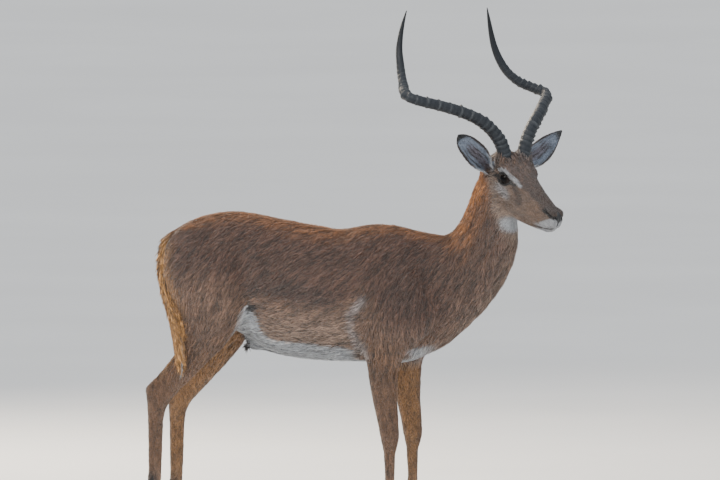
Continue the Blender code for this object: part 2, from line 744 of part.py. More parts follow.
def finished(pieces):
    """Gives each piece its material, and stands the animal on Z = 0 over the origin."""
    corners = [corner for piece in pieces.values() for corner in piece.bound_box]
    low = [min(values) for values in zip(*corners)]
    high = [max(values) for values in zip(*corners)]
    stand = bpy.data.objects.new("impala", None)
    stand.location = (-(low[0] + high[0]) / 2, -(low[1] + high[1]) / 2, -low[2])
    bpy.context.scene.collection.objects.link(stand)
    for name, piece in pieces.items():
        kind = name.split("_")[0]
        piece.data.materials.clear()
        piece.data.materials.append(material(name, *FINISHES[kind]))
        piece.data.shade_smooth()
        piece.data.set_sharp_from_angle(angle=SHARP_ANGLE)
        piece.parent = stand


def main():
    clear_scene()
    pieces = parted_flesh()
    head = pieces["head"]
    for place in SIDES:
        pieces["eye_" + place] = eye(place)
        cut_clear(head, pieces["eye_" + place])
        pieces["horn_" + place] = cut_clear(horn(place), head)
        pieces["ear_" + place] = cut_clear(ear(place), head)
    pieces["tail"] = cut_clear(tail(), pieces["trunk"], pieces["hindleg_right"])
    finished(pieces)


main()
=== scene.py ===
"""A standing impala ram, life size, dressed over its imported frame.

One skin covers the flesh, and a coat of flat locks lies over it. Eyes, horns and hooves are
pieces of their own. Metres: +X is forward, +Y the animal's left and +Z up.
"""

import logging
import math
from collections.abc import Callable
from dataclasses import dataclass
from enum import Enum

import bmesh
import bpy
import numpy as np
from mathutils import Euler, Matrix, Vector
from mathutils.bvhtree import BVHTree

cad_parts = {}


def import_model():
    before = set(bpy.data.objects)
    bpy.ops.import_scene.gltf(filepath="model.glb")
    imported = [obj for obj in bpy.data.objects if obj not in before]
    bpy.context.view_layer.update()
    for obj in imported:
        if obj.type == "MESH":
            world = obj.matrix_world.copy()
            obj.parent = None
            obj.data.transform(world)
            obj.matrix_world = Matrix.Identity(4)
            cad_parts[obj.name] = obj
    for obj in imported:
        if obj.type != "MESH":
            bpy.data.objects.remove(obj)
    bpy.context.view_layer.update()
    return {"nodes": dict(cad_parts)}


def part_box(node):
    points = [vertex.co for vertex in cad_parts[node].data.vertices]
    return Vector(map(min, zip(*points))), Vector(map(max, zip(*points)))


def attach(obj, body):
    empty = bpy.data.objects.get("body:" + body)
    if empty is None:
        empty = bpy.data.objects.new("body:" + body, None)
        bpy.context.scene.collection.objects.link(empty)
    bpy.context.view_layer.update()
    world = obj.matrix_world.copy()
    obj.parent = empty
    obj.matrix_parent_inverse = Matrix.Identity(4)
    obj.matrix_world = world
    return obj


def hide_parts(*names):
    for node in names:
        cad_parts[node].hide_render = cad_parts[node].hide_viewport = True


LOG = logging.getLogger("impala")
BODY = "root"
Array = np.ndarray
BMesh = bmesh.types.BMesh
Material = bpy.types.Material
Piece = bpy.types.Object
Socket = bpy.types.NodeSocket
Colour = tuple[float, float, float]
Place = tuple[float, float, float]
Line = tuple[Place, ...]
Edge = tuple[tuple[float, float], ...]


class Side(Enum):
    """The animal's sides, and which way each lies along its width."""

    LEFT = 1
    RIGHT = -1

    @property
    def word(self) -> str:
        """The side's name in a node's name."""
        return self.name.lower()

    @property
    def flip(self) -> Array:
        """What turns a place on the head's left side into this side's."""
        return np.array([1, self.value, 1])


# ---- Numbers and arrays


def ramp(values: Array, low: float, high: float) -> Array:
    """Rises smoothly from 0 to 1 as the values go from low to high."""
    share = np.clip((values - low) / (high - low), 0, 1)
    return share * share * (3 - 2 * share)


def unit(vectors: Array) -> Array:
    """The vectors, each made 1 long."""
    return vectors / np.maximum(np.linalg.norm(vectors, axis=-1, keepdims=True), 1e-9)


def mixed(first: Array, second: Array | Colour, share: Array) -> Array:
    """Goes from the first rows to the second by each row's share."""
    return first + (np.asarray(second) - first) * np.asarray(share)[:, None]


def smooth_rows(rows: Array, steps: int) -> Array:
    """Fills in the rows of a table along a Catmull-Rom curve.

    Args:
        rows: The table's rows.
        steps: How many rows stand for each one.

    Returns:
        The longer table, which goes through every row.
    """
    held = np.concatenate([rows[:1], rows, rows[-1:]])
    t = (np.arange(steps) / steps)[:, None]
    found = []
    for a, b, c, d in zip(held, held[1:], held[2:], held[3:]):
        bend = 2 * a - 5 * b + 4 * c - d
        found.append(0.5 * (2 * b + (c - a) * t + bend * t**2 + (3 * b - a - 3 * c + d) * t**3))
    return np.concatenate(found + [rows[-1:]])


def lengths_along(line: Array) -> Array:
    """How far along a line of points each of them is."""
    steps = np.linalg.norm(np.diff(line, axis=0), axis=1)
    return np.concatenate([[0.0], np.cumsum(steps)])


def from_line(places: Array, line: Array) -> tuple[Array, Array]:
    """Measures places against a bent line.

    Args:
        places: Points, in any number of dimensions.
        line: The line's corners, in as many.

    Returns:
        How far each place is from the line, and the share of the line's length it is at.
    """
    nearest = np.full(len(places), np.inf)
    share = np.zeros(len(places))
    lengths = lengths_along(line)
    for i, (start, end) in enumerate(zip(line, line[1:])):
        way = end - start
        t = np.clip((places - start) @ way / (way @ way), 0, 1)
        apart = np.linalg.norm(places - start - t[:, None] * way, axis=1)
        closer = apart < nearest
        nearest[closer] = apart[closer]
        share[closer] = (lengths[i] + t[closer] * (lengths[i + 1] - lengths[i])) / lengths[-1]
    return nearest, share


def read_edge(edge: Edge, at: Array) -> Array:
    """How high an edge is at each place along it."""
    return np.interp(at, *np.array(edge).T)


def mirrored(head: Array) -> Array:
    """Places of the head, mirrored to its left side."""
    return head * [1, 0, 1] + np.abs(head) * [0, 1, 0]


@dataclass(frozen=True)
class Noise:
    """Smooth noise from -1 to 1, from a block of random numbers that repeats."""

    seed: int
    size: float
    cells: int = 32

    def at(self, places: Array) -> Array:
        """Reads the noise.

        Args:
            places: Where, in metres.

        Returns:
            One number for each place.
        """
        grid = np.random.default_rng(self.seed).uniform(-1, 1, (self.cells,) * 3)
        scaled = places / self.size
        base = np.floor(scaled).astype(int)
        t = ramp(scaled - base, 0, 1)
        total = np.zeros(len(places))
        for corner in np.ndindex(2, 2, 2):
            index = (base + corner) % self.cells
            total += np.prod(np.where(corner, t, 1 - t), axis=1) * grid[tuple(index.T)]
        return total


# ---- The animal's axes, and the places on its hide


@dataclass(frozen=True)
class Axes:
    """The body's own axes, which run along its middle plane, and those of its turned head.

    The head's are forward along the skull, out to its left and up, from between the eyes.
    """

    shift: Array
    turned: Array
    origin: Array

    HEAD_AT = np.array([0.500, -0.072, 1.005])
    HEAD_TURN = (math.radians(-1), math.radians(23), math.radians(-38))
    EYES_FROM_ORIGIN = np.array([-0.003, 0.0, -0.004])

    @classmethod
    def from_eyes(cls) -> "Axes":
        """Finds the axes from where the frame has its eyes.

        Returns:
            The axes.
        """
        turned = np.array(Euler(cls.HEAD_TURN, "XYZ").to_matrix())
        eyes = [np.mean(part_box("eye_" + side.word), axis=0) for side in Side]
        origin = np.mean(eyes, axis=0) - turned @ cls.EYES_FROM_ORIGIN
        return cls(origin - cls.HEAD_AT, turned, origin)

    def to_head(self, places: Array) -> Array:
        """Places of the frame, in the head's axes."""
        return (places - self.origin) @ self.turned

    def from_head(self, places: Array) -> Array:
        """Places in the head's axes, in the frame's."""
        return np.asarray(places) @ self.turned.T + self.origin

    def turn_from_head(self, ways: Array) -> Array:
        """Directions in the head's axes, in the frame's."""
        return np.asarray(ways) @ self.turned.T


@dataclass
class Ear:
    """A leaf-shaped shell, rolled to a tube at its root and open towards its mouth."""

    axes: Axes
    side: Side
    root_place: Place = (-0.072, 0.048, -0.004)
    tip_place: Place = (-0.076, 0.199, 0.099)
    # Share of the length, half width, and how far round the shell cups
    shape: Line = (
        (0.00, 0.0150, 2.50), (0.14, 0.0190, 2.20), (0.28, 0.0270, 1.60),
        (0.44, 0.0320, 1.25), (0.60, 0.0318, 1.00), (0.76, 0.0255, 0.85),
        (0.90, 0.0140, 0.70), (1.00, 0.0030, 0.60),
    )
    narrower: float = 0.0016
    thick: float = 0.0030
    rim_thick: float = 0.0014
    steps: int = 6
    points: int = 22
    folds: int = 5
    fold_depth: float = 0.0007

    BOW = {Side.LEFT: (0, 0, -0.015), Side.RIGHT: (0, 0, 0.003)}
    MOUTH = {Side.LEFT: (0.80, -0.30, 0.42), Side.RIGHT: (1.0, 0.30, -0.12)}
    BLUNT = {Side.LEFT: 0.0, Side.RIGHT: 0.0065}

    def __post_init__(self) -> None:
        """Settles the ear's lines on its side."""
        self.root = np.array(self.root_place) * self.side.flip
        self.way = np.array(self.tip_place) * self.side.flip - self.root
        self.along = unit(self.way)
        mouth = np.array(self.MOUTH[self.side]) * self.side.flip
        self.mouth = unit(mouth - self.along * (mouth @ self.along))
        self.across = np.cross(self.along, self.mouth)
        self.bow = np.array(self.BOW[self.side], float)
        self.bands = smooth_rows(np.array(self.shape), self.steps)
        share = self.bands[:, 0]
        blunt = ramp(share, 0.60, 0.90) * ramp(share, 1.02, 0.93)
        self.bands[:, 1] += self.BLUNT[self.side] * blunt

    def middle(self, share: Array) -> Array:
        """Points of the ear's middle line, in the head's axes."""
        return self.root + np.outer(share, self.way) + np.outer(np.sin(np.pi * share), self.bow)

    def shell(self) -> BMesh:
        """Builds the ear's shell, with low folds along its inner side.

        Returns:
            The closed shell.
        """
        share, half, cup = self.bands.T
        half = np.maximum(half - self.narrower, self.rim_thick)
        radius = half / np.sin(np.minimum(cup, math.pi / 2))
        round_it = np.linspace(-1, 1, self.points)
        middle = self.middle(share)
        rings = []
        for i in range(len(share)):
            centre = middle[i] + self.mouth * radius[i]
            wall = self.rim_thick + (self.thick - self.rim_thick) * (1 - round_it**4)
            folds = 0.5 + 0.5 * np.cos(math.pi * self.folds * round_it)
            wall = wall + folds * self.fold_depth * math.sin(math.pi * min(share[i] * 1.2, 1))
            wall = np.minimum(wall, radius[i] * 0.8)
            angles = cup[i] * round_it
            outer = self.arc(angles, np.full(len(angles), radius[i]))
            inner = self.arc(angles, radius[i] - wall)[::-1]
            rings.append(centre + np.concatenate([outer, inner]))
        return tube(self.axes.from_head(np.array(rings)))

    def arc(self, angles: Array, reach: Array) -> Array:
        """Points round the ear's hollow, by their angles and how far out they are."""
        ways = np.outer(np.sin(angles), self.across) - np.outer(np.cos(angles), self.mouth)
        return ways * reach[:, None]

    def measure(self, head: Array, normals: Array) -> tuple[Array, Array, Array, Array]:
        """Measures places against the ear.

        Args:
            head: The places, in the head's axes.
            normals: Which way the hide faces there, in the same.

        Returns:
            How much each place is on the ear, its share of the ear's length, how far round it
            lies from -1 to 1, and 1 where it is on the inner side.
        """
        share = np.clip((head - self.root) @ self.along / np.linalg.norm(self.way), -1, 1.2)
        half, cup = (np.interp(share, self.bands[:, 0], self.bands[:, k]) for k in (1, 2))
        radius = half / np.sin(np.minimum(cup, math.pi / 2))
        off = head - self.middle(share) - self.mouth * radius[:, None]
        angle = np.arctan2(off @ self.across, -(off @ self.mouth))
        reach = np.hypot(off @ self.across, off @ self.mouth)
        near = ramp(np.abs(reach - radius), 0.012, 0.005) * ramp(share, -0.02, 0.10)
        near = near * ramp(np.abs(angle) / cup, 1.5, 1.15)
        inner = np.einsum("ij,ij->i", normals, off) < 0
        return near, np.clip(share, 0, 1), np.clip(angle / cup, -1, 1), inner.astype(float)


@dataclass(frozen=True)
class Tail:
    """The tail, by its middle line in the body's axes."""

    line: Line = (
        (-0.446, 0.000, 0.842), (-0.474, 0.000, 0.826), (-0.490, -0.004, 0.786),
        (-0.492, -0.020, 0.736), (-0.478, -0.048, 0.680), (-0.455, -0.082, 0.620),
        (-0.437, -0.106, 0.560), (-0.429, -0.118, 0.512), (-0.424, -0.122, 0.478),
        (-0.421, -0.123, 0.458),
    )
    steps: int = 3

    def middle(self) -> Array:
        """Its middle line, from root to tip."""
        return smooth_rows(np.array(self.line), self.steps)


@dataclass
class Spots:
    """Points on the hide, measured in all the ways that markings and coat go by."""

    world: Array
    normals: Array
    body: Array
    out: Array
    inward: Array
    stance: Array
    head: Array
    on_head: Array
    on_tail: Array
    tail_share: Array
    ears: dict[Side, tuple[Array, ...]]

    LEFT_FORELEG_LEAD = 0.042
    LEFT_HINDLEG_LEAD = 0.037
    JAW_PLANE = (np.array([-0.105, 0.0, 0.030]), np.array([0.778, 0.0, 0.628]))

    @classmethod
    def at(cls, axes: Axes, world: Array, normals: Array) -> "Spots":
        """Measures the points.

        Args:
            axes: The animal's axes.
            world: The points, in the frame.
            normals: Which way the hide faces at each.

        Returns:
            The measured points.
        """
        body = world - axes.shift
        out = np.abs(body[:, 1])
        inward = -normals[:, 1] * np.sign(body[:, 1])
        lead = np.where(body[:, 0] > 0, cls.LEFT_FORELEG_LEAD, cls.LEFT_HINDLEG_LEAD)
        lead = lead * ramp(body[:, 2], 0.72, 0.48) * (body[:, 1] > 0)
        stance = body - np.stack([lead, 0 * lead, 0 * lead], 1)
        head = axes.to_head(world)
        head_normals = normals @ axes.turned
        point, way = cls.JAW_PLANE
        on_head = ramp((head - point) @ way, -0.012, 0.014)
        ears = {side: Ear(axes, side).measure(head, head_normals) for side in Side}
        on_ear = np.maximum(ears[Side.LEFT][0], ears[Side.RIGHT][0])
        on_head = np.maximum(on_head, on_ear) * (body[:, 0] > 0.3)
        from_tail, tail_share = from_line(body, Tail().middle())
        on_tail = ramp(from_tail, 0.030, 0.020) * ramp(tail_share, 0.0, 0.08)
        on_tail = on_tail * ramp(np.abs(body[:, 1]) + 0.2 * (body[:, 2] > 0.7), 0.02, 0.03)
        return cls(
            world, normals, body, out, inward, stance, head, on_head, on_tail, tail_share, ears
        )

    @property
    def face(self) -> Array:
        """The head's places, mirrored to its left side."""
        return mirrored(self.head)

    def over(self, edge: Edge) -> Array:
        """How far each point is above an edge that is given as points of the side view."""
        return self.body[:, 2] - read_edge(edge, self.stance[:, 0])


# ---- Meshes


def tube(rings: Array) -> BMesh:
    """Wraps a grid round rows of points and closes its seam and ends.

    Args:
        rings: The points, by ring, place on the ring and direction.

    Returns:
        The closed mesh, with a UV map that runs round it and along it.
    """
    rows, count = rings.shape[:2]
    mesh = bmesh.new()
    mesh.loops.layers.uv.new("course")
    bmesh.ops.create_grid(mesh, x_segments=count, y_segments=rows - 1, size=1, calc_uvs=True)
    closed = np.concatenate([rings, rings[:, :1]], axis=1).reshape(-1, 3)
    for vertex, place in zip(mesh.verts, closed):
        vertex.co = place
    bmesh.ops.remove_doubles(mesh, verts=mesh.verts, dist=1e-7)
    bmesh.ops.holes_fill(mesh, edges=[e for e in mesh.edges if e.is_boundary], sides=0)
    bmesh.ops.recalc_face_normals(mesh, faces=mesh.faces)
    return mesh


def placed(name: str, mesh: BMesh | bpy.types.Mesh) -> Piece:
    """Puts a mesh in the scene.

    Args:
        name: The new piece's name.
        mesh: Its shape, which is used up if it is a bmesh.

    Returns:
        The piece, smoothly shaded.
    """
    data = mesh
    if isinstance(mesh, BMesh):
        data = bpy.data.meshes.new(name)
        mesh.to_mesh(data)
        mesh.free()
    data.shade_smooth()
    piece = bpy.data.objects.new(name, data)
    bpy.context.scene.collection.objects.link(piece)
    return piece


def bake(piece: Piece) -> None:
    """Applies a piece's modifiers."""
    graph = bpy.context.evaluated_depsgraph_get()
    piece.data = bpy.data.meshes.new_from_object(piece.evaluated_get(graph))
    piece.modifiers.clear()


def merged_copy(node: str) -> BMesh:
    """Copies a frame node's mesh, with its loose triangles merged.

    Args:
        node: The node's name.

    Returns:
        The copy.
    """
    mesh = bmesh.new()
    mesh.from_mesh(bpy.data.objects[node].data)
    bmesh.ops.remove_doubles(mesh, verts=mesh.verts, dist=1e-5)
    bmesh.ops.recalc_face_normals(mesh, faces=mesh.faces)
    return mesh


def write_values(data: bpy.types.Mesh, name: str, values: Array) -> None:
    """Writes an attribute on a mesh's vertices.

    Args:
        data: The mesh.
        name: The attribute's name.
        values: A number for each vertex, or a row with its linear colour.
    """
    if values.ndim == 1:
        layer = data.attributes.new(name, "FLOAT", "POINT")
        layer.data.foreach_set("value", values.astype(np.float32))
        return
    layer = data.attributes.new(name, "FLOAT_COLOR", "POINT")
    rgba = np.concatenate([values, np.ones((len(values), 1))], 1)
    layer.data.foreach_set("color", rgba.astype(np.float32).ravel())


class Surface:
    """A mesh as arrays of places and edges, to be smoothed and shaped as a whole."""

    def __init__(self, data: bpy.types.Mesh) -> None:
        """Reads the mesh.

        Args:
            data: The mesh.
        """
        self.data = data
        self.places = np.empty((len(data.vertices), 3), np.float32)
        data.vertices.foreach_get("co", self.places.ravel())
        self.places = self.places.astype(float)
        self.edges = np.empty(len(data.edges) * 2, np.int32)
        data.edges.foreach_get("vertices", self.edges)
        self.edges = self.edges.reshape(-1, 2)

    def write(self) -> None:
        """Puts the places back into the mesh."""
        self.data.vertices.foreach_set("co", self.places.astype(np.float32).ravel())
        self.data.update()

    def normals(self) -> Array:
        """Writes the places, and finds which way the surface faces.

        Returns:
            Each vertex's normal.
        """
        self.write()
        found = np.empty((len(self.places), 3), np.float32)
        self.data.vertex_normals.foreach_get("vector", found.ravel())
        return found.astype(float)

    def softened(self, values: Array) -> Array:
        """Averages values over the surface.

        Args:
            values: A row for each vertex.

        Returns:
            For each vertex, the mean of its neighbours' rows.
        """
        count = len(self.places)
        ends = self.edges.T
        both = np.concatenate([ends[0], ends[1]])
        others = np.concatenate([ends[1], ends[0]])
        valence = np.maximum(np.bincount(both, minlength=count), 1)
        columns = [np.bincount(both, column[others], count) / valence for column in values.T]
        return np.stack(columns, 1)

    def relax(self, rounds: int, weight: Array | float = 1.0, swell: float = 0.0) -> None:
        """Smooths the surface.

        Args:
            rounds: How many times.
            weight: How much of each round each vertex takes.
            swell: How much of what a round shrinks the next half round gives back.
        """
        weight = np.broadcast_to(weight, len(self.places))[:, None]
        for _ in range(rounds):
            self.places += 0.5 * weight * (self.softened(self.places) - self.places)
            if swell:
                self.places -= swell * weight * (self.softened(self.places) - self.places)


# ---- Finishes


class Nodes:
    """A material's nodes, wired to its Principled shader."""

    def __init__(self, name: str) -> None:
        """Starts a new material.

        Args:
            name: The material's name.
        """
        self.material = bpy.data.materials.new(name)
        self.material.use_nodes = True
        self.tree = self.material.node_tree
        self.shader = self.tree.nodes["Principled BSDF"]

    def add(self, kind: str, feeds: dict | None = None, **settings: object) -> bpy.types.Node:
        """Adds a node.

        Args:
            kind: The shader node's type, without its prefix.
            feeds: What goes into its sockets, by name or number: a value or another socket.
            settings: The node's own properties.

        Returns:
            The node.
        """
        node = self.tree.nodes.new("ShaderNode" + kind)
        for name, value in settings.items():
            setattr(node, name, value)
        for key, value in (feeds or {}).items():
            self.feed(node.inputs[key], value)
        return node

    def feed(self, socket: Socket, value: object) -> None:
        """Links a socket, or sets its own value."""
        if isinstance(value, Socket):
            self.tree.links.new(value, socket)
        else:
            socket.default_value = value

    def dress(self, **feeds: object) -> None:
        """Feeds the shader's sockets, named with _ for each space."""
        for name, value in feeds.items():
            self.feed(self.shader.inputs[name.replace("_", " ")], value)

    def place(self) -> Socket:
        """Where on the object a point is."""
        return self.add("TexCoord").outputs["Object"]

    def noise(self, scale: float, detail: float = 2.0, at: object = None) -> Socket:
        """Noise of a number of waves to the metre."""
        where = at if at is not None else self.place()
        feeds = {"Vector": where, "Scale": scale, "Detail": detail}
        return self.add("TexNoise", feeds).outputs["Fac"]

    def map_range(self, value: object, low: float, high: float, to: tuple) -> Socket:
        """Turns a range of values into another."""
        feeds = {0: value, 1: low, 2: high, 3: to[0], 4: to[1]}
        return self.add("MapRange", feeds).outputs[0]

    def math(self, operation: str, first: object, second: object) -> Socket:
        """Works on two values."""
        return self.add("Math", {0: first, 1: second}, operation=operation).outputs[0]

    def mix(self, share: object, first: object, second: object, way: str = "MIX") -> object:
        """Mixes two colours."""
        feeds = {0: share, 6: as_colour(first), 7: as_colour(second)}
        node = self.add("Mix", feeds, data_type="RGBA", blend_type=way)
        return node.outputs[2]

    def bump(self, height: object, strength: float, depth: float) -> Socket:
        """Turns a height into a bump of so many metres."""
        feeds = {"Height": height, "Strength": strength, "Distance": depth}
        return self.add("Bump", feeds).outputs["Normal"]


def as_colour(value: object) -> object:
    """A colour with its alpha, or the socket it already is."""
    return (*value, 1.0) if isinstance(value, tuple) else value


@dataclass(frozen=True)
class HideFinish:
    """The skin under the coat, in its markings, and bare and moist at nose and lids."""

    roughness: float = 0.82
    bare_roughness: float = 0.34
    grain: float = 520.0
    pores: float = 900.0

    def material(self) -> Material:
        """Makes the material.

        Returns:
            The material.
        """
        nodes = Nodes("hide")
        marked = nodes.add("Attribute", attribute_name=Markings.COLOUR).outputs["Color"]
        bare = nodes.add("Attribute", attribute_name=Markings.BARE).outputs["Fac"]
        broad = nodes.noise(70.0, 3.0)
        fine = nodes.noise(self.grain, 3.0)
        shade = nodes.math("MULTIPLY", nodes.map_range(broad, 0.3, 0.7, (0.86, 1.12)),
                           nodes.map_range(fine, 0.3, 0.7, (0.80, 1.16)))
        colour = nodes.mix(1.0, marked, shade, "MULTIPLY")
        pores = nodes.add("TexVoronoi", {"Vector": nodes.place(), "Scale": self.pores})
        height = nodes.mix(bare, fine, nodes.math("MULTIPLY", pores.outputs["Distance"], 0.5))
        nodes.dress(
            Base_Color=colour,
            Roughness=nodes.map_range(bare, 0.0, 1.0, (self.roughness, self.bare_roughness)),
            Normal=nodes.bump(height, 0.55, 0.0006),
            Specular_IOR_Level=0.30,
            Sheen_Weight=0.15,
            Sheen_Roughness=0.5,
        )
        return nodes.material


@dataclass(frozen=True)
class CoatFinish:
    """The hair, in the markings' colours and a little glossy."""

    roughness: float = 0.62
    sheen: float = 0.18

    def material(self) -> Material:
        """Makes the material.

        Returns:
            The material.
        """
        nodes = Nodes("coat")
        marked = nodes.add("Attribute", attribute_name=Markings.COLOUR).outputs["Color"]
        course = nodes.add("UVMap", uv_map=Coat.STRANDS).outputs["UV"]
        drawn = nodes.add("Mapping", {"Vector": course, "Scale": (7.0, 0.9, 1.0)}).outputs[0]
        strands = nodes.noise(1.3, 3.0, drawn)
        shade = nodes.map_range(strands, 0.3, 0.7, (0.76, 1.22))
        nodes.dress(
            Base_Color=nodes.mix(1.0, marked, shade, "MULTIPLY"),
            Roughness=nodes.map_range(strands, 0.3, 0.7, (self.roughness, 0.75)),
            Normal=nodes.bump(strands, 0.5, 0.0004),
            Sheen_Weight=self.sheen,
            Sheen_Roughness=0.4,
        )
        return nodes.material


@dataclass(frozen=True)
class HornFinish:
    """Slate-dark horn, greyer on the worn tops of its rings, with fine lines along it."""

    valley: Colour = (0.008, 0.011, 0.016)
    ridge: Colour = (0.046, 0.052, 0.058)
    tip: Colour = (0.006, 0.008, 0.011)

    def material(self) -> Material:
        """Makes the material.

        Returns:
            The material.
        """
        nodes = Nodes("horn")
        worn = nodes.add("Attribute", attribute_name=Horn.WORN).outputs["Fac"]
        share = nodes.add("Attribute", attribute_name=Horn.SHARE).outputs["Fac"]
        course = nodes.add("UVMap", uv_map="course").outputs["UV"]
        lines = nodes.add("Mapping", {"Vector": course, "Scale": (38.0, 9.0, 1.0)}).outputs[0]
        streaks = nodes.noise(1.6, 4.0, lines)
        blotches = nodes.noise(60.0, 4.0)
        top = nodes.math("MULTIPLY", worn, nodes.map_range(blotches, 0.35, 0.65, (0.35, 1.0)))
        colour = nodes.mix(top, self.valley, self.ridge)
        colour = nodes.mix(nodes.map_range(streaks, 0.45, 0.65, (0.0, 0.30)), colour, self.ridge)
        colour = nodes.mix(nodes.map_range(share, 0.68, 0.92, (0.0, 1.0)), colour, self.tip)
        nodes.dress(
            Base_Color=colour,
            Roughness=nodes.map_range(streaks, 0.3, 0.7, (0.40, 0.62)),
            Normal=nodes.bump(streaks, 0.8, 0.0011),
            Specular_IOR_Level=0.28,
        )
        return nodes.material


@dataclass(frozen=True)
class EyeFinish:
    """A near-black brown iris with a level pupil, under a clear wet front."""

    pupil: Colour = (0.002, 0.002, 0.003)
    iris: Colour = (0.006, 0.004, 0.003)
    iris_edge: Colour = (0.002, 0.002, 0.002)
    white: Colour = (0.016, 0.011, 0.010)
    iris_radius: float = 0.66
    pupil_half: tuple[float, float] = (0.40, 0.22)

    def material(self) -> Material:
        """Makes the material.

        Returns:
            The material.
        """
        nodes = Nodes("eye")
        gaze = nodes.add("UVMap", uv_map="gaze").outputs["UV"]
        from_middle = nodes.add("VectorMath", {0: gaze}, operation="LENGTH").outputs["Value"]
        halves = (1 / self.pupil_half[0], 1 / self.pupil_half[1], 0.0)
        squeezed = nodes.add("Mapping", {"Vector": gaze, "Scale": halves}).outputs[0]
        to_pupil = nodes.add("VectorMath", {0: squeezed}, operation="LENGTH").outputs["Value"]
        rays = nodes.noise(46.0, 3.0, gaze)
        iris = nodes.mix(nodes.map_range(rays, 0.35, 0.65, (0.0, 1.0)), self.iris_edge, self.iris)
        inside = nodes.map_range(from_middle, self.iris_radius - 0.08, self.iris_radius, (0, 1))
        colour = nodes.mix(inside, iris, self.white)
        colour = nodes.mix(nodes.map_range(to_pupil, 0.9, 1.1, (0.0, 1.0)), self.pupil, colour)
        nodes.dress(Base_Color=colour, Roughness=0.07, Specular_IOR_Level=0.09)
        return nodes.material


@dataclass(frozen=True)
class HoofFinish:
    """Blackish hoof horn with growth lines round it, scuffed paler at the ground."""

    dark: Colour = (0.014, 0.013, 0.013)
    pale: Colour = (0.045, 0.041, 0.037)

    def material(self) -> Material:
        """Makes the material.

        Returns:
            The material.
        """
        nodes = Nodes("hoof")
        height = nodes.add("SeparateXYZ", {0: nodes.place()}).outputs["Z"]
        rings = nodes.add("Mapping", {"Vector": nodes.place(), "Scale": (20.0, 20.0, 420.0)})
        growth = nodes.noise(1.0, 3.0, rings.outputs[0])
        scuffs = nodes.noise(240.0, 4.0)
        colour = nodes.mix(nodes.map_range(growth, 0.4, 0.7, (0.0, 0.6)), self.dark, self.pale)
        low = nodes.map_range(height, 0.012, 0.0, (0.0, 0.9))
        colour = nodes.mix(nodes.math("MULTIPLY", low, scuffs), colour, self.pale)
        nodes.dress(
            Base_Color=colour,
            Roughness=nodes.map_range(scuffs, 0.3, 0.7, (0.38, 0.62)),
            Normal=nodes.bump(growth, 0.5, 0.0006),
        )
        return nodes.material


@dataclass(frozen=True)
class LashFinish:
    """Black lashes."""

    colour: Colour = (0.010, 0.008, 0.007)

    def material(self) -> Material:
        """Makes the material."""
        nodes = Nodes("lash")
        grain = nodes.map_range(nodes.noise(900.0), 0.3, 0.7, (0.6, 1.4))
        nodes.dress(Base_Color=nodes.mix(1.0, self.colour, grain, "MULTIPLY"), Roughness=0.45)
        return nodes.material


@dataclass(frozen=True)
class FloorFinish:
    """A matt, pale studio floor."""

    colour: Colour = (0.80, 0.795, 0.78)

    def material(self) -> Material:
        """Makes the material."""
        nodes = Nodes("floor")
        cloudy = nodes.map_range(nodes.noise(0.9, 4.0), 0.3, 0.7, (0.97, 1.03))
        nodes.dress(
            Base_Color=nodes.mix(1.0, self.colour, cloudy, "MULTIPLY"),
            Roughness=0.9,
            Normal=nodes.bump(nodes.noise(160.0, 3.0), 0.1, 0.001),
        )
        return nodes.material


# ---- Markings


@dataclass(frozen=True)
class Palette:
    """The coat's colours, linear."""

    saddle: Colour = (0.090, 0.046, 0.032)
    tan: Colour = (0.158, 0.091, 0.060)
    leg: Colour = (0.150, 0.078, 0.042)
    light_tan: Colour = (0.300, 0.220, 0.170)
    # White hair, given a cool blue tint as painted sky shade
    white: Colour = (0.375, 0.395, 0.422)
    # Orange: the ears' own tint, and painted warm sunlight on the top of the neck and back
    rufous_and_sunlight: Colour = (0.430, 0.165, 0.042)
    neck: Colour = (0.120, 0.068, 0.047)
    face: Colour = (0.138, 0.087, 0.059)
    crown: Colour = (0.074, 0.048, 0.040)
    ochre: Colour = (0.165, 0.090, 0.048)
    dark: Colour = (0.034, 0.021, 0.017)
    black: Colour = (0.009, 0.008, 0.008)
    # White hair inside the ears, painted cool grey-blue as in sky shade
    ear_inside_in_sky_shade: Colour = (0.245, 0.290, 0.370)
    ear_pink: Colour = (0.130, 0.085, 0.095)
    nose: Colour = (0.011, 0.012, 0.014)
    # Golden: the tail's own colour, also laid as painted warm sunlight on the thighs' rear and the
    # lower legs' inner sides
    tail: Colour = (0.400, 0.205, 0.070)


class Paint:
    """Colours laid over one another on the same spots."""

    def __init__(self, base: Colour, count: int) -> None:
        """Starts with one colour on all of them."""
        self.rows = np.tile(base, (count, 1)).astype(float)

    def lay(self, colour: Colour | Array, share: Array) -> None:
        """Covers what is there, by each spot's share."""
        self.rows = mixed(self.rows, colour, share)


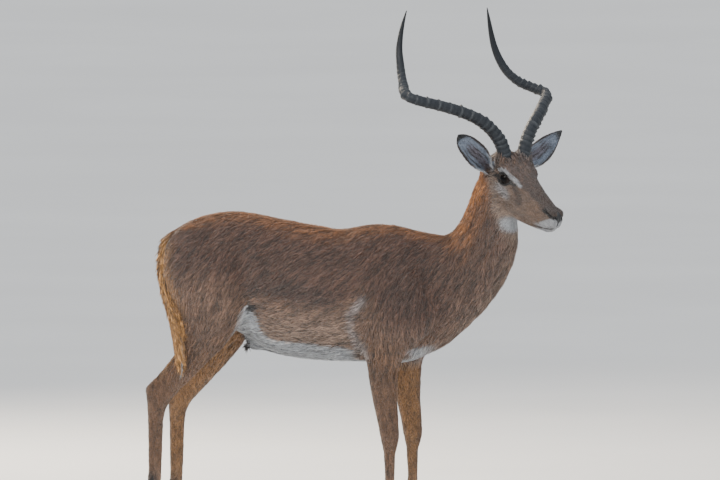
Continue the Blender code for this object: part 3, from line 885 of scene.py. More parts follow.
class Markings:
    """The colours of hide and coat, by place: methods lay them on one after another."""

    COLOUR = "coat_colour"
    BARE = "bare"
    DARKEST, LIGHTEST = 0.003, 0.9

    # Edges seen from the side, in the body's axes: how far forward, and how high
    SADDLE = (
        (-0.50, 0.740), (-0.457, 0.740), (-0.370, 0.736), (-0.314, 0.728), (-0.233, 0.692),
        (-0.163, 0.674), (-0.079, 0.662), (-0.023, 0.654), (0.013, 0.660), (0.059, 0.690),
        (0.090, 0.705), (0.125, 0.650), (0.160, 0.605), (0.230, 0.590), (0.300, 0.620),
        (0.360, 0.700), (0.420, 0.820),
    )
    BELLY = (
        (-0.330, 0.662), (-0.250, 0.656), (-0.216, 0.650), (-0.206, 0.614), (-0.194, 0.576),
        (-0.174, 0.557), (-0.125, 0.548), (-0.050, 0.543), (0.021, 0.538), (0.064, 0.527),
        (0.120, 0.524), (0.180, 0.538), (0.230, 0.542), (0.330, 0.566),
    )
    # Line behind the elbow: paler hair, with a painted highlight along it
    TRICEPS_PALE_HAIR_AND_HIGHLIGHT = ((0.082, 0.674), (0.056, 0.628), (0.052, 0.592), (0.068, 0.551), (0.088, 0.520))
    # The thigh's front edge: how high, and how far forward
    THIGH = ((0.400, -0.420), (0.545, -0.300), (0.600, -0.266), (0.642, -0.250), (0.700, -0.240))
    GROIN_SHADOW = (-0.222, 0.644)
    SHEATH = (-0.250, 0.0)

    # Lines on the face, in the head's axes, on its left side, and how much their distances
    # count each way
    FLATTER = np.array([1, 0.35, 1])
    WARP = 0.0022
    BROW = ((-0.019, 0.050, 0.0110), (-0.012, 0.051, 0.0135), (-0.003, 0.051, 0.0155),
            (0.010, 0.048, 0.0145), (0.024, 0.044, 0.0100), (0.041, 0.041, 0.0050),
            (0.056, 0.038, -0.0010))
    UNDER_EYE = ((-0.006, 0.049, -0.031), (0.012, 0.047, -0.036), (0.024, 0.045, -0.043))
    BEHIND_EYE = ((-0.038, 0.052, 0.010), (-0.042, 0.053, -0.008), (-0.034, 0.052, -0.028))
    BEFORE_EYE = ((0.044, 0.042, -0.015), (0.060, 0.037, -0.026), (0.068, 0.036, -0.042))
    TEAR = ((0.016, 0.048, -0.005), (0.029, 0.045, -0.005), (0.041, 0.0415, -0.005))
    EYE_BACK = ((-0.026, 0.050, -0.007), (-0.034, 0.050, -0.009))
    NOSTRIL = ((0.152, 0.0210, -0.0265), (0.162, 0.0230, -0.0285), (0.174, 0.0230, -0.0305),
               (0.184, 0.0180, -0.0325), (0.1895, 0.0120, -0.0330))
    MOUTH = ((0.193, 0.000, -0.0590), (0.187, 0.010, -0.0650), (0.174, 0.0165, -0.0710),
             (0.155, 0.0205, -0.0765), (0.138, 0.0235, -0.0815), (0.124, 0.0250, -0.0840))
    CHIN = (-0.0665, -0.0725)
    # The dark top of the face reaches down to here: how far forward, and how high
    CROWN = ((-0.070, 0.012), (-0.020, 0.020), (0.020, 0.016), (0.055, 0.000), (0.100, -0.012),
             (0.150, -0.020))
    # The bare nose between the nostrils: how high, and its half width
    PAD = ((-0.058, 0.0018), (-0.046, 0.0026), (-0.040, 0.0060), (-0.034, 0.0105),
           (-0.027, 0.0095), (-0.021, 0.0050), (-0.018, 0.0))
    # Where round the inside of an ear its dark streaks run
    EAR_STREAKS = (-0.55, -0.22, 0.06, 0.36)

    def __init__(self, palette: Palette, spots: Spots) -> None:
        """Starts with plain hide.

        Args:
            palette: Its colours.
            spots: The places to colour.
        """
        self.palette = palette
        self.spots = spots
        self.count = len(spots.world)
        self.wander = Noise(3, 0.034).at(spots.world) + 0.5 * Noise(4, 0.011).at(spots.world)
        self.hide = Paint(palette.tan, self.count)

    def painted(self) -> tuple[Array, Array]:
        """Colours the places.

        Returns:
            Each place's linear colour, and how bare of hair it is, from 0 to 1.
        """
        self.body()
        self.legs()
        self.rump()
        self.tail()
        face, bare = self.face()
        self.hide.lay(face, self.spots.on_head)
        self.ears()
        colour = np.clip(self.hide.rows, self.DARKEST, self.LIGHTEST)
        return colour, bare * (self.spots.on_head > 0.5)

    def body(self) -> None:
        """Saddle, flanks, neck and belly."""
        p, spots, hide, wander = self.palette, self.spots, self.hide, self.wander
        x, _, z = spots.stance.T
        flank = ramp(x, -0.29, -0.22) * ramp(x, 0.09, 0.04)
        hide.lay(p.light_tan, 0.45 * ramp(z, 0.67, 0.56) * flank)
        hide.lay(p.leg, ramp(z, 0.60, 0.50) * (1 - flank))
        over = spots.over(self.SADDLE) + 0.008 * wander
        soft = 0.055 - 0.041 * flank
        hide.lay(p.saddle, 0.94 * ramp(over / soft, -1.2, 0.9))
        low_band = ramp(over, 0.0, 0.014) * ramp(over, 0.085, 0.030)
        low_band = low_band * ramp(x, -0.23, -0.16) * ramp(x, 0.03, -0.04)
        hide.lay(p.dark, 0.42 * low_band)
        on_neck = ramp(x, 0.24, 0.38)
        hide.lay(p.neck, 0.85 * on_neck)
        front = ramp(spots.normals[:, 0] - 0.3 * spots.normals[:, 2], 0.25, 0.9)
        hide.lay(p.light_tan, 0.30 * front * on_neck)
        # Painted warm sunlight on the neck's top line, where the hide faces up and back
        sunlit_topline = ramp(spots.normals[:, 2] - 0.75 * spots.normals[:, 0], 0.15, 0.95)
        sunlit_topline = np.clip(sunlit_topline * (1 + 0.3 * wander), 0, 1) * ramp(x, 0.28, 0.37)
        hide.lay(p.rufous_and_sunlight, 0.90 * sunlit_topline)
        shaded = ramp(np.hypot((x - 0.20) / 0.8, (z - 0.72) / 1.3), 0.11, 0.03)
        hide.lay(p.dark, 0.35 * shaded)
        # Painted warm sunlight where the body's hide faces up
        hide.lay(p.rufous_and_sunlight, 0.35 * ramp(spots.normals[:, 2], 0.6, 1.0) * (1 - on_neck))
        # Paler hair along the triceps' rear edge, with a painted highlight where the hair catches
        # light
        light, _ = from_line(spots.stance[:, ::2], np.array(self.TRICEPS_PALE_HAIR_AND_HIGHLIGHT))
        light = ramp(light + 0.005 * wander, 0.018, 0.0) * (spots.out > 0.05)
        hide.lay(p.white, 0.36 * light)
        self.belly()

    def belly(self) -> None:
        """The white belly, with painted shadow in the hollow of the groin, and the sheath's tip."""
        p, spots, hide, wander = self.palette, self.spots, self.hide, self.wander
        x, _, z = spots.stance.T
        trunk = 1 - ramp(spots.out, 0.030, 0.046) * ramp(x, 0.045, 0.075) * ramp(x, 0.22, 0.19)
        under = ramp(spots.over(self.BELLY) + 0.003 * wander, 0.006, -0.004)
        under = np.maximum(under, 0.9 * ramp(spots.normals[:, 2], -0.72, -0.92) * ramp(z, 0.66, 0.6))
        ahead = ramp(x - read_edge(self.THIGH, z), -0.002, 0.010)
        under = under * np.maximum(ahead, ramp(spots.inward, -0.05, 0.3) * ramp(z, 0.58, 0.62))
        reach = ramp(x, -0.36, -0.30) * ramp(x, 0.30, 0.22)
        hide.lay(p.white, under * trunk * reach)
        # Painted shadow: black in the hollow where the belly meets the thigh
        hollow = np.hypot((x - self.GROIN_SHADOW[0]) / 1.5, z - self.GROIN_SHADOW[1])
        hide.lay(p.black, 0.95 * ramp(hollow + 0.001 * wander, 0.0150, 0.0080))
        tip = self.from_sheath(spots) + 0.1 * (z > 0.60)
        hide.lay(p.dark, 0.9 * ramp(tip, 0.013, 0.008))

    @classmethod
    def from_sheath(cls, spots: Spots) -> Array:
        """How far each spot is from the sheath's tip, seen from above."""
        return np.hypot(spots.body[:, 0] - cls.SHEATH[0], spots.body[:, 1])

    def legs(self) -> None:
        """Whiter high up inside, greyer to the feet, with the black gland tufts behind."""
        p, spots, hide = self.palette, self.spots, self.hide
        x, _, z = spots.stance.T
        behind = x < -0.1
        inner = ramp(spots.inward, 0.15, 0.75) * ramp(z, 0.68, 0.62) * (spots.out > 0.02)
        high = np.where(behind, ramp(z, 0.565, 0.625), ramp(z, 0.47, 0.53))
        hide.lay(p.white, inner * 0.9 * high)
        # Painted warm sunlight on the lower legs' inner sides
        hide.lay(p.tail, inner * 0.45 * (1 - high))
        edge = np.abs(x - read_edge(self.THIGH, z))
        front_edge = ramp(edge, 0.006, 0.002) * ramp(z, 0.66, 0.63) * ramp(z, 0.40, 0.46)
        front_edge = front_edge * ramp(spots.normals[:, 0], 0.15, 0.6)
        hide.lay(p.white, 0.55 * front_edge * behind)
        # Painted rim light on the rear-facing hide of the lower legs
        rear = ramp(spots.normals[:, 0], -0.4, -0.9) * ramp(z, 0.52, 0.44)
        hide.lay(p.light_tan, 0.5 * rear)
        hide.lay(p.light_tan, 0.35 * ramp(z, 0.24, 0.12))
        knee = ramp(np.hypot(x - 0.150, z - 0.30), 0.05, 0.01) * ramp(spots.normals[:, 0], 0.2, 0.9)
        hide.lay(p.saddle, 0.35 * knee)
        hide.lay(p.black, 0.96 * self.gland(spots))
        hide.lay(p.dark, 0.7 * ramp(z, 0.058, 0.042))

    @staticmethod
    def gland(spots: Spots) -> Array:
        """Finds the tufts of the hind feet's glands.

        Args:
            spots: The places.

        Returns:
            How much each is in a tuft.
        """
        x, _, z = spots.stance.T
        high = z + 0.022 * (spots.body[:, 1] > 0)
        low = ramp(high, 0.085, 0.105) * ramp(high, 0.205, 0.175)
        return low * ramp(x, -0.490, -0.503) * (x < -0.4)

    def rump(self) -> None:
        """White buttocks with a black stripe down each, and painted warm sunlight on their rear
        edge.
        """
        p, spots, hide = self.palette, self.spots, self.hide
        x, _, z = spots.body.T
        behind = ramp(x, -0.425, -0.462) * ramp(z, 0.56, 0.62) * ramp(z, 0.845, 0.80)
        inner = behind * ramp(spots.out, 0.058, 0.046)
        hide.lay(p.white, 0.92 * inner)
        stripe = np.abs(spots.out - 0.058 - 0.002 * self.wander)
        hide.lay(p.black, 0.9 * behind * ramp(stripe, 0.010, 0.005))
        # Painted warm sunlight on the rear-facing hide of the thighs
        edge = ramp(spots.normals[:, 0], -0.25, -0.8) * ramp(z, 0.42, 0.5) * ramp(z, 0.86, 0.80)
        edge = edge * ramp(x, -0.36, -0.42) * ramp(spots.out, 0.066, 0.076)
        hide.lay(p.tail, 0.55 * edge)

    def tail(self) -> None:
        """Golden sides, white below, and a dark line down its back."""
        p = self.palette
        behind = self.spots.normals @ unit(np.array([-1.0, -0.25, 0.35]))
        tail = Paint(p.white, self.count)
        tail.lay(p.tail, ramp(behind, -0.92, -0.65))
        tail.lay(p.dark, 0.75 * ramp(behind, 0.84, 0.95))
        tail.lay(p.white, 0.5 * ramp(self.spots.tail_share, 0.94, 1.0))
        self.hide.lay(tail.rows, self.spots.on_tail)

    def near(self, line: Line, reach: float, soft: float) -> Array:
        """Finds the spots near a line of the face."""
        apart, _ = from_line(self.spots.face * self.FLATTER, np.array(line) * self.FLATTER)
        off_middle = self.spots.face[:, 1] > 0.003
        return ramp(apart + self.WARP * self.wander, reach + soft, reach) * off_middle

    def face(self) -> tuple[Array, Array]:
        """Colours the head.

        Returns:
            Each spot's colour, and how bare it is.
        """
        p, near, warp = self.palette, self.near, self.WARP * self.wander
        f, o, u = self.spots.face.T
        face = Paint(p.face, self.count)
        face.lay(p.ochre, 0.55 * ramp(np.hypot(f - 0.122, u + 0.044), 0.040, 0.012))
        face.lay(p.light_tan, 0.40 * ramp(f, 0.03, -0.04) * ramp(u, 0.0, -0.04))
        pale_jaw = ramp(u + 0.25 * f, -0.062, -0.088) * ramp(f, 0.16, 0.08)
        face.lay(p.light_tan, 0.6 * pale_jaw)
        over = u - read_edge(self.CROWN, f) + 2 * warp
        share = ramp(over, -0.009, 0.006) * (0.92 - 0.3 * ramp(f, -0.03, -0.06))
        face.lay(self.crown(), share)
        brow_patch = ramp(np.hypot(f + 0.016, u - 0.036), 0.017, 0.007) * ramp(o, 0.020, 0.030)
        face.lay(p.ochre, 0.25 * brow_patch)
        throat = ramp(np.hypot((f - 0.052) / 1.55, u + 0.119), 0.028, 0.014)
        face.lay(p.white, 0.95 * throat)
        face.lay(p.dark, 0.68 * near(self.BEFORE_EYE, 0.0030, 0.0150))
        face.lay(p.white, 0.55 * near(self.UNDER_EYE, 0.0030, 0.0170))
        face.lay(p.light_tan, 0.55 * near(self.BEHIND_EYE, 0.0030, 0.0080))
        face.lay(p.white, 0.80 * near(self.BROW, 0.0030, 0.0048))
        chin = ramp(u, *self.CHIN) * ramp(f, 0.128, 0.150)
        face.lay(p.dark, 0.70 * (ramp(f, 0.125, 0.165) * ramp(u, -0.034, -0.026)))
        lip = ramp(u - 0.85 * np.minimum(f - 0.181, 0), -0.0345, -0.0395) * ramp(f, 0.145, 0.158)
        face.lay(p.white, 0.80 * np.maximum(chin, lip))
        half = np.interp(u, *np.array(self.PAD).T, left=0, right=0)
        pad = ramp(o - half, 0.0014, -0.0004) * ramp(f, 0.168, 0.176) * (half > 0)
        bare = np.maximum(pad, near(self.NOSTRIL, 0.0040, 0.0016))
        face.lay(p.black, 0.96 * near(self.NOSTRIL, 0.0066, 0.0022))
        face.lay(p.nose, pad)
        lips = near(self.MOUTH, 0.0016, 0.0014)
        face.lay(p.dark, 0.9 * lips)
        lid = EyeSocket.outside(self.spots.face)
        rim = 0.0015 * ramp(u, 0.004, -0.006)
        face.lay(p.black, ramp(lid + 0.3 * warp - rim, 0.0056, 0.0036))
        corners = np.maximum(near(self.TEAR[:2], 0.0062, 0.0018), near(self.TEAR, 0.0038, 0.0022))
        corners = np.maximum(corners, near(self.EYE_BACK, 0.0036, 0.0026))
        face.lay(p.black, 0.96 * corners)
        return face.rows, np.maximum.reduce([bare, ramp(lid, 0.0034, 0.0022), 0.7 * lips])

    def crown(self) -> Array:
        """Colours the mottled dark top of the head.

        Returns:
            Each spot's colour.
        """
        p = self.palette
        mottled = Noise(5, 0.0055).at(self.spots.world)
        crown = Paint(p.crown, self.count)
        crown.lay(p.ochre, 0.55 * ramp(mottled, 0.15, 0.8))
        crown.lay(p.light_tan, 0.25 * ramp(-mottled, 0.35, 0.9))
        crown.lay(p.dark, 0.52 * ramp(self.spots.face[:, 0], 0.04, 0.09))
        return crown.rows

    def ears(self) -> None:
        """Pale and streaked inside, tan behind, with black rims and tips."""
        p, wander = self.palette, self.wander
        for on_ear, share, round_it, inner in self.spots.ears.values():
            from_middle = np.abs(round_it)
            own = Paint(p.face, self.count)
            own.lay(p.rufous_and_sunlight, np.full(self.count, 0.3))
            own.lay(p.white, 0.8 * (ramp(share, 0.32, 0.10) * ramp(from_middle, 0.45, 0.75)))
            inside = Paint(p.ear_inside_in_sky_shade, self.count)
            inside.lay(p.ear_pink, 0.62 * (ramp(from_middle, 0.50, 0.15) * ramp(share, 0.78, 0.5)))
            bent = round_it + 0.10 * wander + 0.25 * (share - 0.4)
            lines = np.min([np.abs(bent - at) for at in self.EAR_STREAKS], axis=0)
            broken = ramp(Noise(6, 0.013).at(self.spots.world), -0.45, 0.05)
            streak = ramp(lines, 0.090, 0.035) * broken * ramp(share, 0.80, 0.6)
            inside.lay(p.dark, 0.80 * streak * ramp(share, 0.05, 0.2))
            own.lay(inside.rows, inner)
            edge = 0.90 - 0.17 * ramp(share, 0.35, 0.75)
            rim = ramp(from_middle + 0.03 * wander - edge, -0.03, 0.05)
            own.lay(p.dark, 0.95 * rim * ramp(share, 0.26, 0.40))
            own.lay(p.white, 0.85 * (ramp(from_middle, 0.66, 0.86) * ramp(share, 0.38, 0.24)))
            own.lay(p.black, 0.95 * ramp(share + 0.03 * wander, 0.83, 0.90))
            self.hide.lay(own.rows, on_ear)


# ---- Eyes


class EyeSocket:
    """Where an eye sits and how its lids open, in the head's axes, on the left side."""

    MIDDLE = np.array([-0.003, 0.0345, -0.004])
    RADIUS = 0.0205
    GAZE = unit(np.array([0.04, 1.0, -0.04]))
    LONG = unit(np.array([1.0, -0.04, 0.08]))
    HALF_LONG = 0.0235
    HALF_HIGH = 0.0142
    SHARPNESS = 1.7
    # How far the skin stands off the ball, by how far outside the opening's edge it is
    LID = (
        (-0.0060, -0.0040), (-0.0024, -0.0036), (-0.0006, -0.0002), (0.0006, 0.0016),
        (0.0022, 0.0023), (0.0044, 0.0020), (0.0064, 0.0010), (0.0090, 0.0024),
        (0.0150, 0.0034),
    )
    FAR = 0.05
    # How far round it the skin is drawn into lids
    AROUND = 0.044

    @classmethod
    def axes(cls) -> tuple[Array, Array]:
        """The opening's long way and its way up, square to the gaze."""
        long = unit(cls.LONG - cls.GAZE * (cls.LONG @ cls.GAZE))
        high = np.cross(long, cls.GAZE)
        return long, high * np.sign(high[2])

    @classmethod
    def outside(cls, face: Array) -> Array:
        """How far places are outside the lids' edge, along the ball: below 0 in the opening.

        Args:
            face: The places, mirrored to the left side.

        Returns:
            The distances, which are large away from the eye.
        """
        long, high = cls.axes()
        off = face - cls.MIDDLE
        along, above, out = off @ long, off @ high, off @ cls.GAZE
        flat = np.maximum(np.hypot(along, above), 1e-9)
        arc = cls.RADIUS * np.arctan2(flat, out)
        share = np.stack([arc * along / flat / cls.HALF_LONG, arc * above / flat / cls.HALF_HIGH])
        edge = (np.abs(share) ** cls.SHARPNESS).sum(0) ** (1 / cls.SHARPNESS)
        opening = arc / np.maximum(edge, 0.05)
        flat_edge = cls.RADIUS * np.sin(np.minimum(opening / cls.RADIUS, 1.5))
        past = np.maximum(arc - opening, flat - flat_edge)
        apart = np.where(edge > 1, past, arc - opening)
        return np.where((np.linalg.norm(off, axis=1) < cls.FAR) & (out > 0), apart, cls.FAR)

    @classmethod
    def lids(cls, face: Array) -> Array:
        """Where the skin round the eye goes: into a pocket, over a rolled edge, and a fold.

        Args:
            face: The places, mirrored to the left side.

        Returns:
            The moved places.
        """
        reach = np.linalg.norm(face - cls.MIDDLE, axis=1)
        apart = cls.outside(face)
        wanted = cls.RADIUS + read_edge(cls.LID, apart)
        moved = reach + (wanted - reach) * ramp(apart, 0.0140, 0.0055)
        return cls.MIDDLE + (face - cls.MIDDLE) * (moved / np.maximum(reach, 1e-9))[:, None]


@dataclass
class Eye:
    """A glossy eyeball with a low clear dome at its front, and its upper lashes."""

    axes: Axes
    side: Side
    bulge: float = 0.0008
    segments: int = 48
    bands: int = 32
    lash_count: int = 30
    lash_length: float = 0.0095
    lash_width: float = 0.0006
    lash_flatness: float = 0.6
    lash_height: float = 0.0014

    def build(self, finish: EyeFinish) -> Piece:
        """Builds the ball over its frame node.

        Args:
            finish: Its material.

        Returns:
            The piece.
        """
        low, high = (np.array(corner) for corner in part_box("eye_" + self.side.word))
        radius = float((high - low).max()) / 2
        mesh = bmesh.new()
        gaze_map = mesh.loops.layers.uv.new("gaze")
        bmesh.ops.create_uvsphere(
            mesh, u_segments=self.segments, v_segments=self.bands, radius=1
        )
        flip = self.side.flip
        gaze = self.axes.turn_from_head(EyeSocket.GAZE * flip)
        long = self.axes.turn_from_head(EyeSocket.LONG * flip)
        long = unit(long - gaze * (gaze @ long))
        turned = np.stack([long, np.cross(gaze, long), gaze], axis=1)
        for vertex in mesh.verts:
            dome = float(ramp(np.array([vertex.co.z]), 0.72, 0.97)[0]) * self.bulge
            place = (low + high) / 2 + turned @ np.array(vertex.co) * (radius + dome)
            for loop in vertex.link_loops:
                loop[gaze_map].uv = vertex.co.xy if vertex.co.z > 0 else vertex.co.xy.normalized()
            vertex.co = place
        bmesh.ops.recalc_face_normals(mesh, faces=mesh.faces)
        piece = placed("eyeball_" + self.side.word, mesh)
        piece.data.materials.append(finish.material())
        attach(piece, BODY)
        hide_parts("eye_" + self.side.word)
        return piece

    def lashes(self, finish: LashFinish) -> Piece:
        """Sets the upper lid's lashes.

        Args:
            finish: Their material.

        Returns:
            The piece.
        """
        t = np.linspace(0.10, 0.90, self.lash_count)
        along = (2 * t - 1) * EyeSocket.HALF_LONG
        sharp = EyeSocket.SHARPNESS
        above = EyeSocket.HALF_HIGH * (1 - np.abs(2 * t - 1) ** sharp) ** (1 / sharp)
        long, high = EyeSocket.axes()
        arc = np.hypot(along, above)
        turn = arc / EyeSocket.RADIUS
        flat = np.outer(along / arc, long) + np.outer(above / arc, high)
        outwards = flat * np.sin(turn)[:, None] + np.outer(np.cos(turn), EyeSocket.GAZE)
        root = EyeSocket.MIDDLE + outwards * (EyeSocket.RADIUS + self.lash_height)
        way = unit(0.75 * outwards + 0.45 * high + np.outer((2 * t - 1) * 0.5, long) + [0, 0, -0.1])
        flip = self.side.flip
        lift = self.axes.turn_from_head(np.tile(high * flip, (len(t), 1)))
        start = self.axes.from_head(root * flip)
        ahead = self.axes.turn_from_head(way * flip)
        length = self.lash_length * (0.75 + 0.25 * np.sin(math.pi * t))[:, None]
        middle = start + ahead * length * 0.5
        tip = start + ahead * length + lift * length * 0.22
        width = np.full(len(t), self.lash_width)
        locks = Locks(start, middle, tip, lift, width, self.lash_flatness)
        piece = placed("lashes_" + self.side.word, locks.mesh("lashes", bands=3))
        piece.data.materials.append(finish.material())
        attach(piece, BODY)
        return piece


# ---- Skin


@dataclass(frozen=True)
class Crease:
    """A groove, or a raised line where its depth is below 0, seen from the side."""

    line: Edge
    depth: float
    width: float

    def press(self, spots: Spots) -> Array:
        """Finds how far it presses the body in.

        Args:
            spots: The places.

        Returns:
            The depth at each.
        """
        apart, share = from_line(spots.stance[:, ::2], np.array(self.line))
        ends = ramp(share, -0.05, 0.15) * ramp(share, 1.05, 0.85)
        side = ramp(np.abs(spots.normals[:, 1]), 0.25, 0.7)
        return self.depth * np.exp(-((apart / self.width) ** 2)) * ends * side


@dataclass
class Skin:
    """The one hide over all the flesh, ears and tail too, inside it by the coat's depth."""

    axes: Axes
    palette: Palette
    voxel: float = 0.0055
    # How far the flesh and the eyes grow, to close the cuts between them
    seam: float = 0.0004
    eye_seam: float = 0.001
    # How often the whole skin is smoothed, and how much of what that takes is put back
    rounds: int = 14
    swell: float = 0.53 * 0.9
    fine_rounds: int = 3
    fine_swell: float = 0.45
    muscle_depth: float = 1.6
    ear_rounds: int = 6

    FLESH = ("trunk", "neck", "head", "tail", "foreleg_left", "foreleg_right",
             "hindleg_left", "hindleg_right")
    MUSCLES = (
        Crease(((0.112, 0.700), (0.086, 0.662), (0.060, 0.622), (0.056, 0.585)), 0.0035, 0.013),
        Crease(((0.125, 0.690), (0.100, 0.655), (0.078, 0.615)), -0.0020, 0.012),
        Crease(((0.056, 0.585), (0.066, 0.556), (0.088, 0.528)), 0.0045, 0.008),
        Crease(((-0.212, 0.588), (-0.236, 0.630), (-0.250, 0.680)), 0.0030, 0.014),
        Crease(((-0.250, 0.700), (-0.262, 0.760), (-0.255, 0.820)), 0.0028, 0.022),
        Crease(((-0.244, 0.642), (-0.222, 0.645), (-0.200, 0.638)), 0.0040, 0.009),
        Crease(((0.190, 0.835), (0.245, 0.740), (0.262, 0.660), (0.225, 0.600)), 0.0030, 0.017),
        Crease(((0.110, 0.835), (0.160, 0.740), (0.180, 0.670)), 0.0016, 0.016),
        Crease(((-0.412, 0.800), (-0.385, 0.700), (-0.362, 0.600)), 0.0022, 0.016),
        Crease(((0.425, 0.850), (0.392, 0.740), (0.330, 0.640)), 0.0030, 0.014),
        Crease(((0.378, 0.900), (0.350, 0.800), (0.300, 0.740)), 0.0018, 0.018),
        Crease(((-0.478, 0.505), (-0.494, 0.470), (-0.503, 0.440)), 0.0060, 0.010),
        Crease(((-0.505, 0.340), (-0.504, 0.230), (-0.503, 0.140)), 0.0022, 0.0045),
        Crease(((0.146, 0.255), (0.1465, 0.190), (0.147, 0.135)), 0.0022, 0.0045),
        Crease(((0.128, 0.400), (0.136, 0.345), (0.140, 0.315)), 0.0018, 0.006),
    )
    # Lines on the face's left side: the groove before the eye, and the cheek's edge and hollow
    TEAR_GROOVE = ((0.036, 0.044, -0.008), (0.050, 0.040, -0.016), (0.064, 0.037, -0.026))
    CHEEK_EDGE = ((0.060, 0.036, -0.040), (0.020, 0.047, -0.046), (-0.02, 0.051, -0.036))
    CHEEK_HOLLOW = ((0.050, 0.036, -0.066), (0.010, 0.048, -0.060), (-0.02, 0.052, -0.052))

    def build(self, finish: HideFinish) -> Piece:
        """Builds the skin.

        Args:
            finish: Its material.

        Returns:
            The piece.
        """
        piece = self.whole()
        self.refine(piece.data, lambda spots: (spots.on_head > 0.4) & (spots.head[:, 0] > -0.10))
        self.refine(piece.data, self.is_fine)
        self.shape(piece.data)
        self.add_ears(piece)
        self.mark(piece.data)
        self.unwrap(piece)
        piece.data.materials.clear()
        piece.data.materials.append(finish.material())
        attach(piece, BODY)
        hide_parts(*self.FLESH, "ear_left", "ear_right")
        return piece

    def whole(self) -> Piece:
        """Joins the flesh of the frame into one smooth closed surface, the eyes filled in.

        Returns:
            The piece.
        """
        mesh = bmesh.new()
        for name in (*self.FLESH, "eye_left", "eye_right"):
            part = merged_copy(name)
            part.normal_update()
            push = self.seam if name in self.FLESH else self.eye_seam
            for vertex in part.verts:
                vertex.co += vertex.normal * push
            data = bpy.data.meshes.new("part")
            part.to_mesh(data)
            part.free()
            mesh.from_mesh(data)
            bpy.data.meshes.remove(data)
        piece = placed("skin", mesh)
        one = piece.modifiers.new("one_skin", "REMESH")
        one.mode = "VOXEL"
        one.voxel_size = self.voxel
        one.use_smooth_shade = True
        bake(piece)
        surface = Surface(piece.data)
        surface.relax(self.rounds, swell=self.swell)
        surface.write()
        return piece

    def spots(self, surface: Surface) -> Spots:
        """The surface's vertices, measured."""
        return Spots.at(self.axes, surface.places, surface.normals())

    @staticmethod
    def is_fine(spots: Spots) -> Array:
        """Finds where the face needs its finest mesh: round the eyes, at nostrils and mouth.

        Args:
            spots: The places.

        Returns:
            True for each place in.
        """
        f, _, u = spots.face.T
        near_eye = np.linalg.norm(spots.face - EyeSocket.MIDDLE, axis=1) < EyeSocket.AROUND
        near_mouth, _ = from_line(spots.face, np.array(Markings.MOUTH))
        return near_eye | (f > 0.148) | (near_mouth < 0.008) & (u < 0)

    def refine(self, data: bpy.types.Mesh, chooses: Callable[[Spots], Array]) -> None:
        """Halves the faces where they are chosen, and smooths them.

        Args:
            data: The skin's mesh.
            chooses: Says which measured spots are in.
        """
        surface = Surface(data)
        chosen = chooses(self.spots(surface))
        mesh = bmesh.new()
        mesh.from_mesh(data)
        edges = [e for e in mesh.edges if chosen[e.verts[0].index] and chosen[e.verts[1].index]]
        bmesh.ops.subdivide_edges(mesh, edges=edges, cuts=1, use_grid_fill=True)
        mesh.to_mesh(data)
        mesh.free()
        data.shade_smooth()
        surface = Surface(data)
        weight = chooses(self.spots(surface)).astype(float)
        surface.relax(self.fine_rounds, weight, self.fine_swell)
        surface.write()

    def shape(self, data: bpy.types.Mesh) -> None:
        """Presses in the muscles' lines and the face's detail, and sinks all by the coat.

        Args:
            data: The skin's mesh.
        """
        surface = Surface(data)
        spots = self.spots(surface)
        creases = sum(crease.press(spots) for crease in self.MUSCLES)
        press = self.muscle_depth * creases * (1 - spots.on_head)
        press = press - self.sheath(spots)
        press = press + self.face_press(spots) * (spots.on_head > 0.5)
        surface.places -= spots.normals * press[:, None]
        surface.places -= spots.normals * self.coat_depth(spots)[:, None]
        self.open_eyes(surface)
        surface.write()

    @staticmethod
    def sheath(spots: Spots) -> Array:
        """How far the sheath stands out under the belly."""
        x, y, z = spots.body.T
        under = ramp(x, -0.115, -0.235) * ramp(x, -0.268, -0.254) * (z < 0.62)
        return 0.011 * under * np.exp(-((y / 0.012) ** 2)) * ramp(spots.normals[:, 2], -0.2, -0.7)

    @classmethod
    def face_press(cls, spots: Spots) -> Array:
        """Finds how far the nostrils, the mouth, the tear grooves and the lips press in.

        Args:
            spots: The places.

        Returns:
            The depth at each, below 0 where they stand out.
        """
        f, o, u = spots.face.T
        to_horn = np.linalg.norm(spots.face - Coat.HORN_ROOT, axis=1)
        raised = 0.0055 * ramp(to_horn, 0.050, 0.030) * ramp(f, -0.062, -0.034)
        press = cls.groove(spots, Markings.NOSTRIL[::-1], 0.0100, 0.0040)
        from_wing = np.hypot((f - 0.172) / 1.8, u + 0.0205)
        press -= 0.0022 * np.exp(-((from_wing / 0.0055) ** 2)) * (o > 0.008)
        press += cls.groove(spots, Markings.MOUTH, 0.0030, 0.0019)
        press += cls.groove(spots, cls.TEAR_GROOVE, 0.0018, 0.0050)
        at_nose_end = ramp(f, 0.180, 0.186) * ramp(u, -0.030, -0.036)
        press += 0.0013 * np.exp(-((o / 0.0016) ** 2)) * at_nose_end
        press -= cls.groove(spots, cls.CHEEK_EDGE, 0.0016, 0.0070)
        press += cls.groove(spots, cls.CHEEK_HOLLOW, 0.0014, 0.0080)
        return press - raised

    @staticmethod
    def groove(spots: Spots, line: Line, depth: float, width: float) -> Array:
        """Finds a groove along a line of the face."""
        apart, share = from_line(spots.face, np.array(line))
        return depth * np.exp(-((apart / width) ** 2)) * ramp(share, 1.04, 0.80)

    @staticmethod
    def coat_depth(spots: Spots) -> Array:
        """Finds how deep the coat is.

        Args:
            spots: The places.

        Returns:
            The depth at each.
        """
        z = spots.body[:, 2]
        depth = 0.0040 - 0.0022 * ramp(z, 0.50, 0.34) - 0.0013 * ramp(z, 0.08, 0.045)
        face = 0.0022 - 0.0012 * ramp(spots.face[:, 0], 0.02, 0.13)
        face = face * ramp(EyeSocket.outside(spots.face), 0.004, 0.012)
        face = face * (1 - ramp(spots.face[:, 0], 0.172, 0.183))
        depth = depth + (face - depth) * spots.on_head
        return depth + (0.0045 - depth) * spots.on_tail

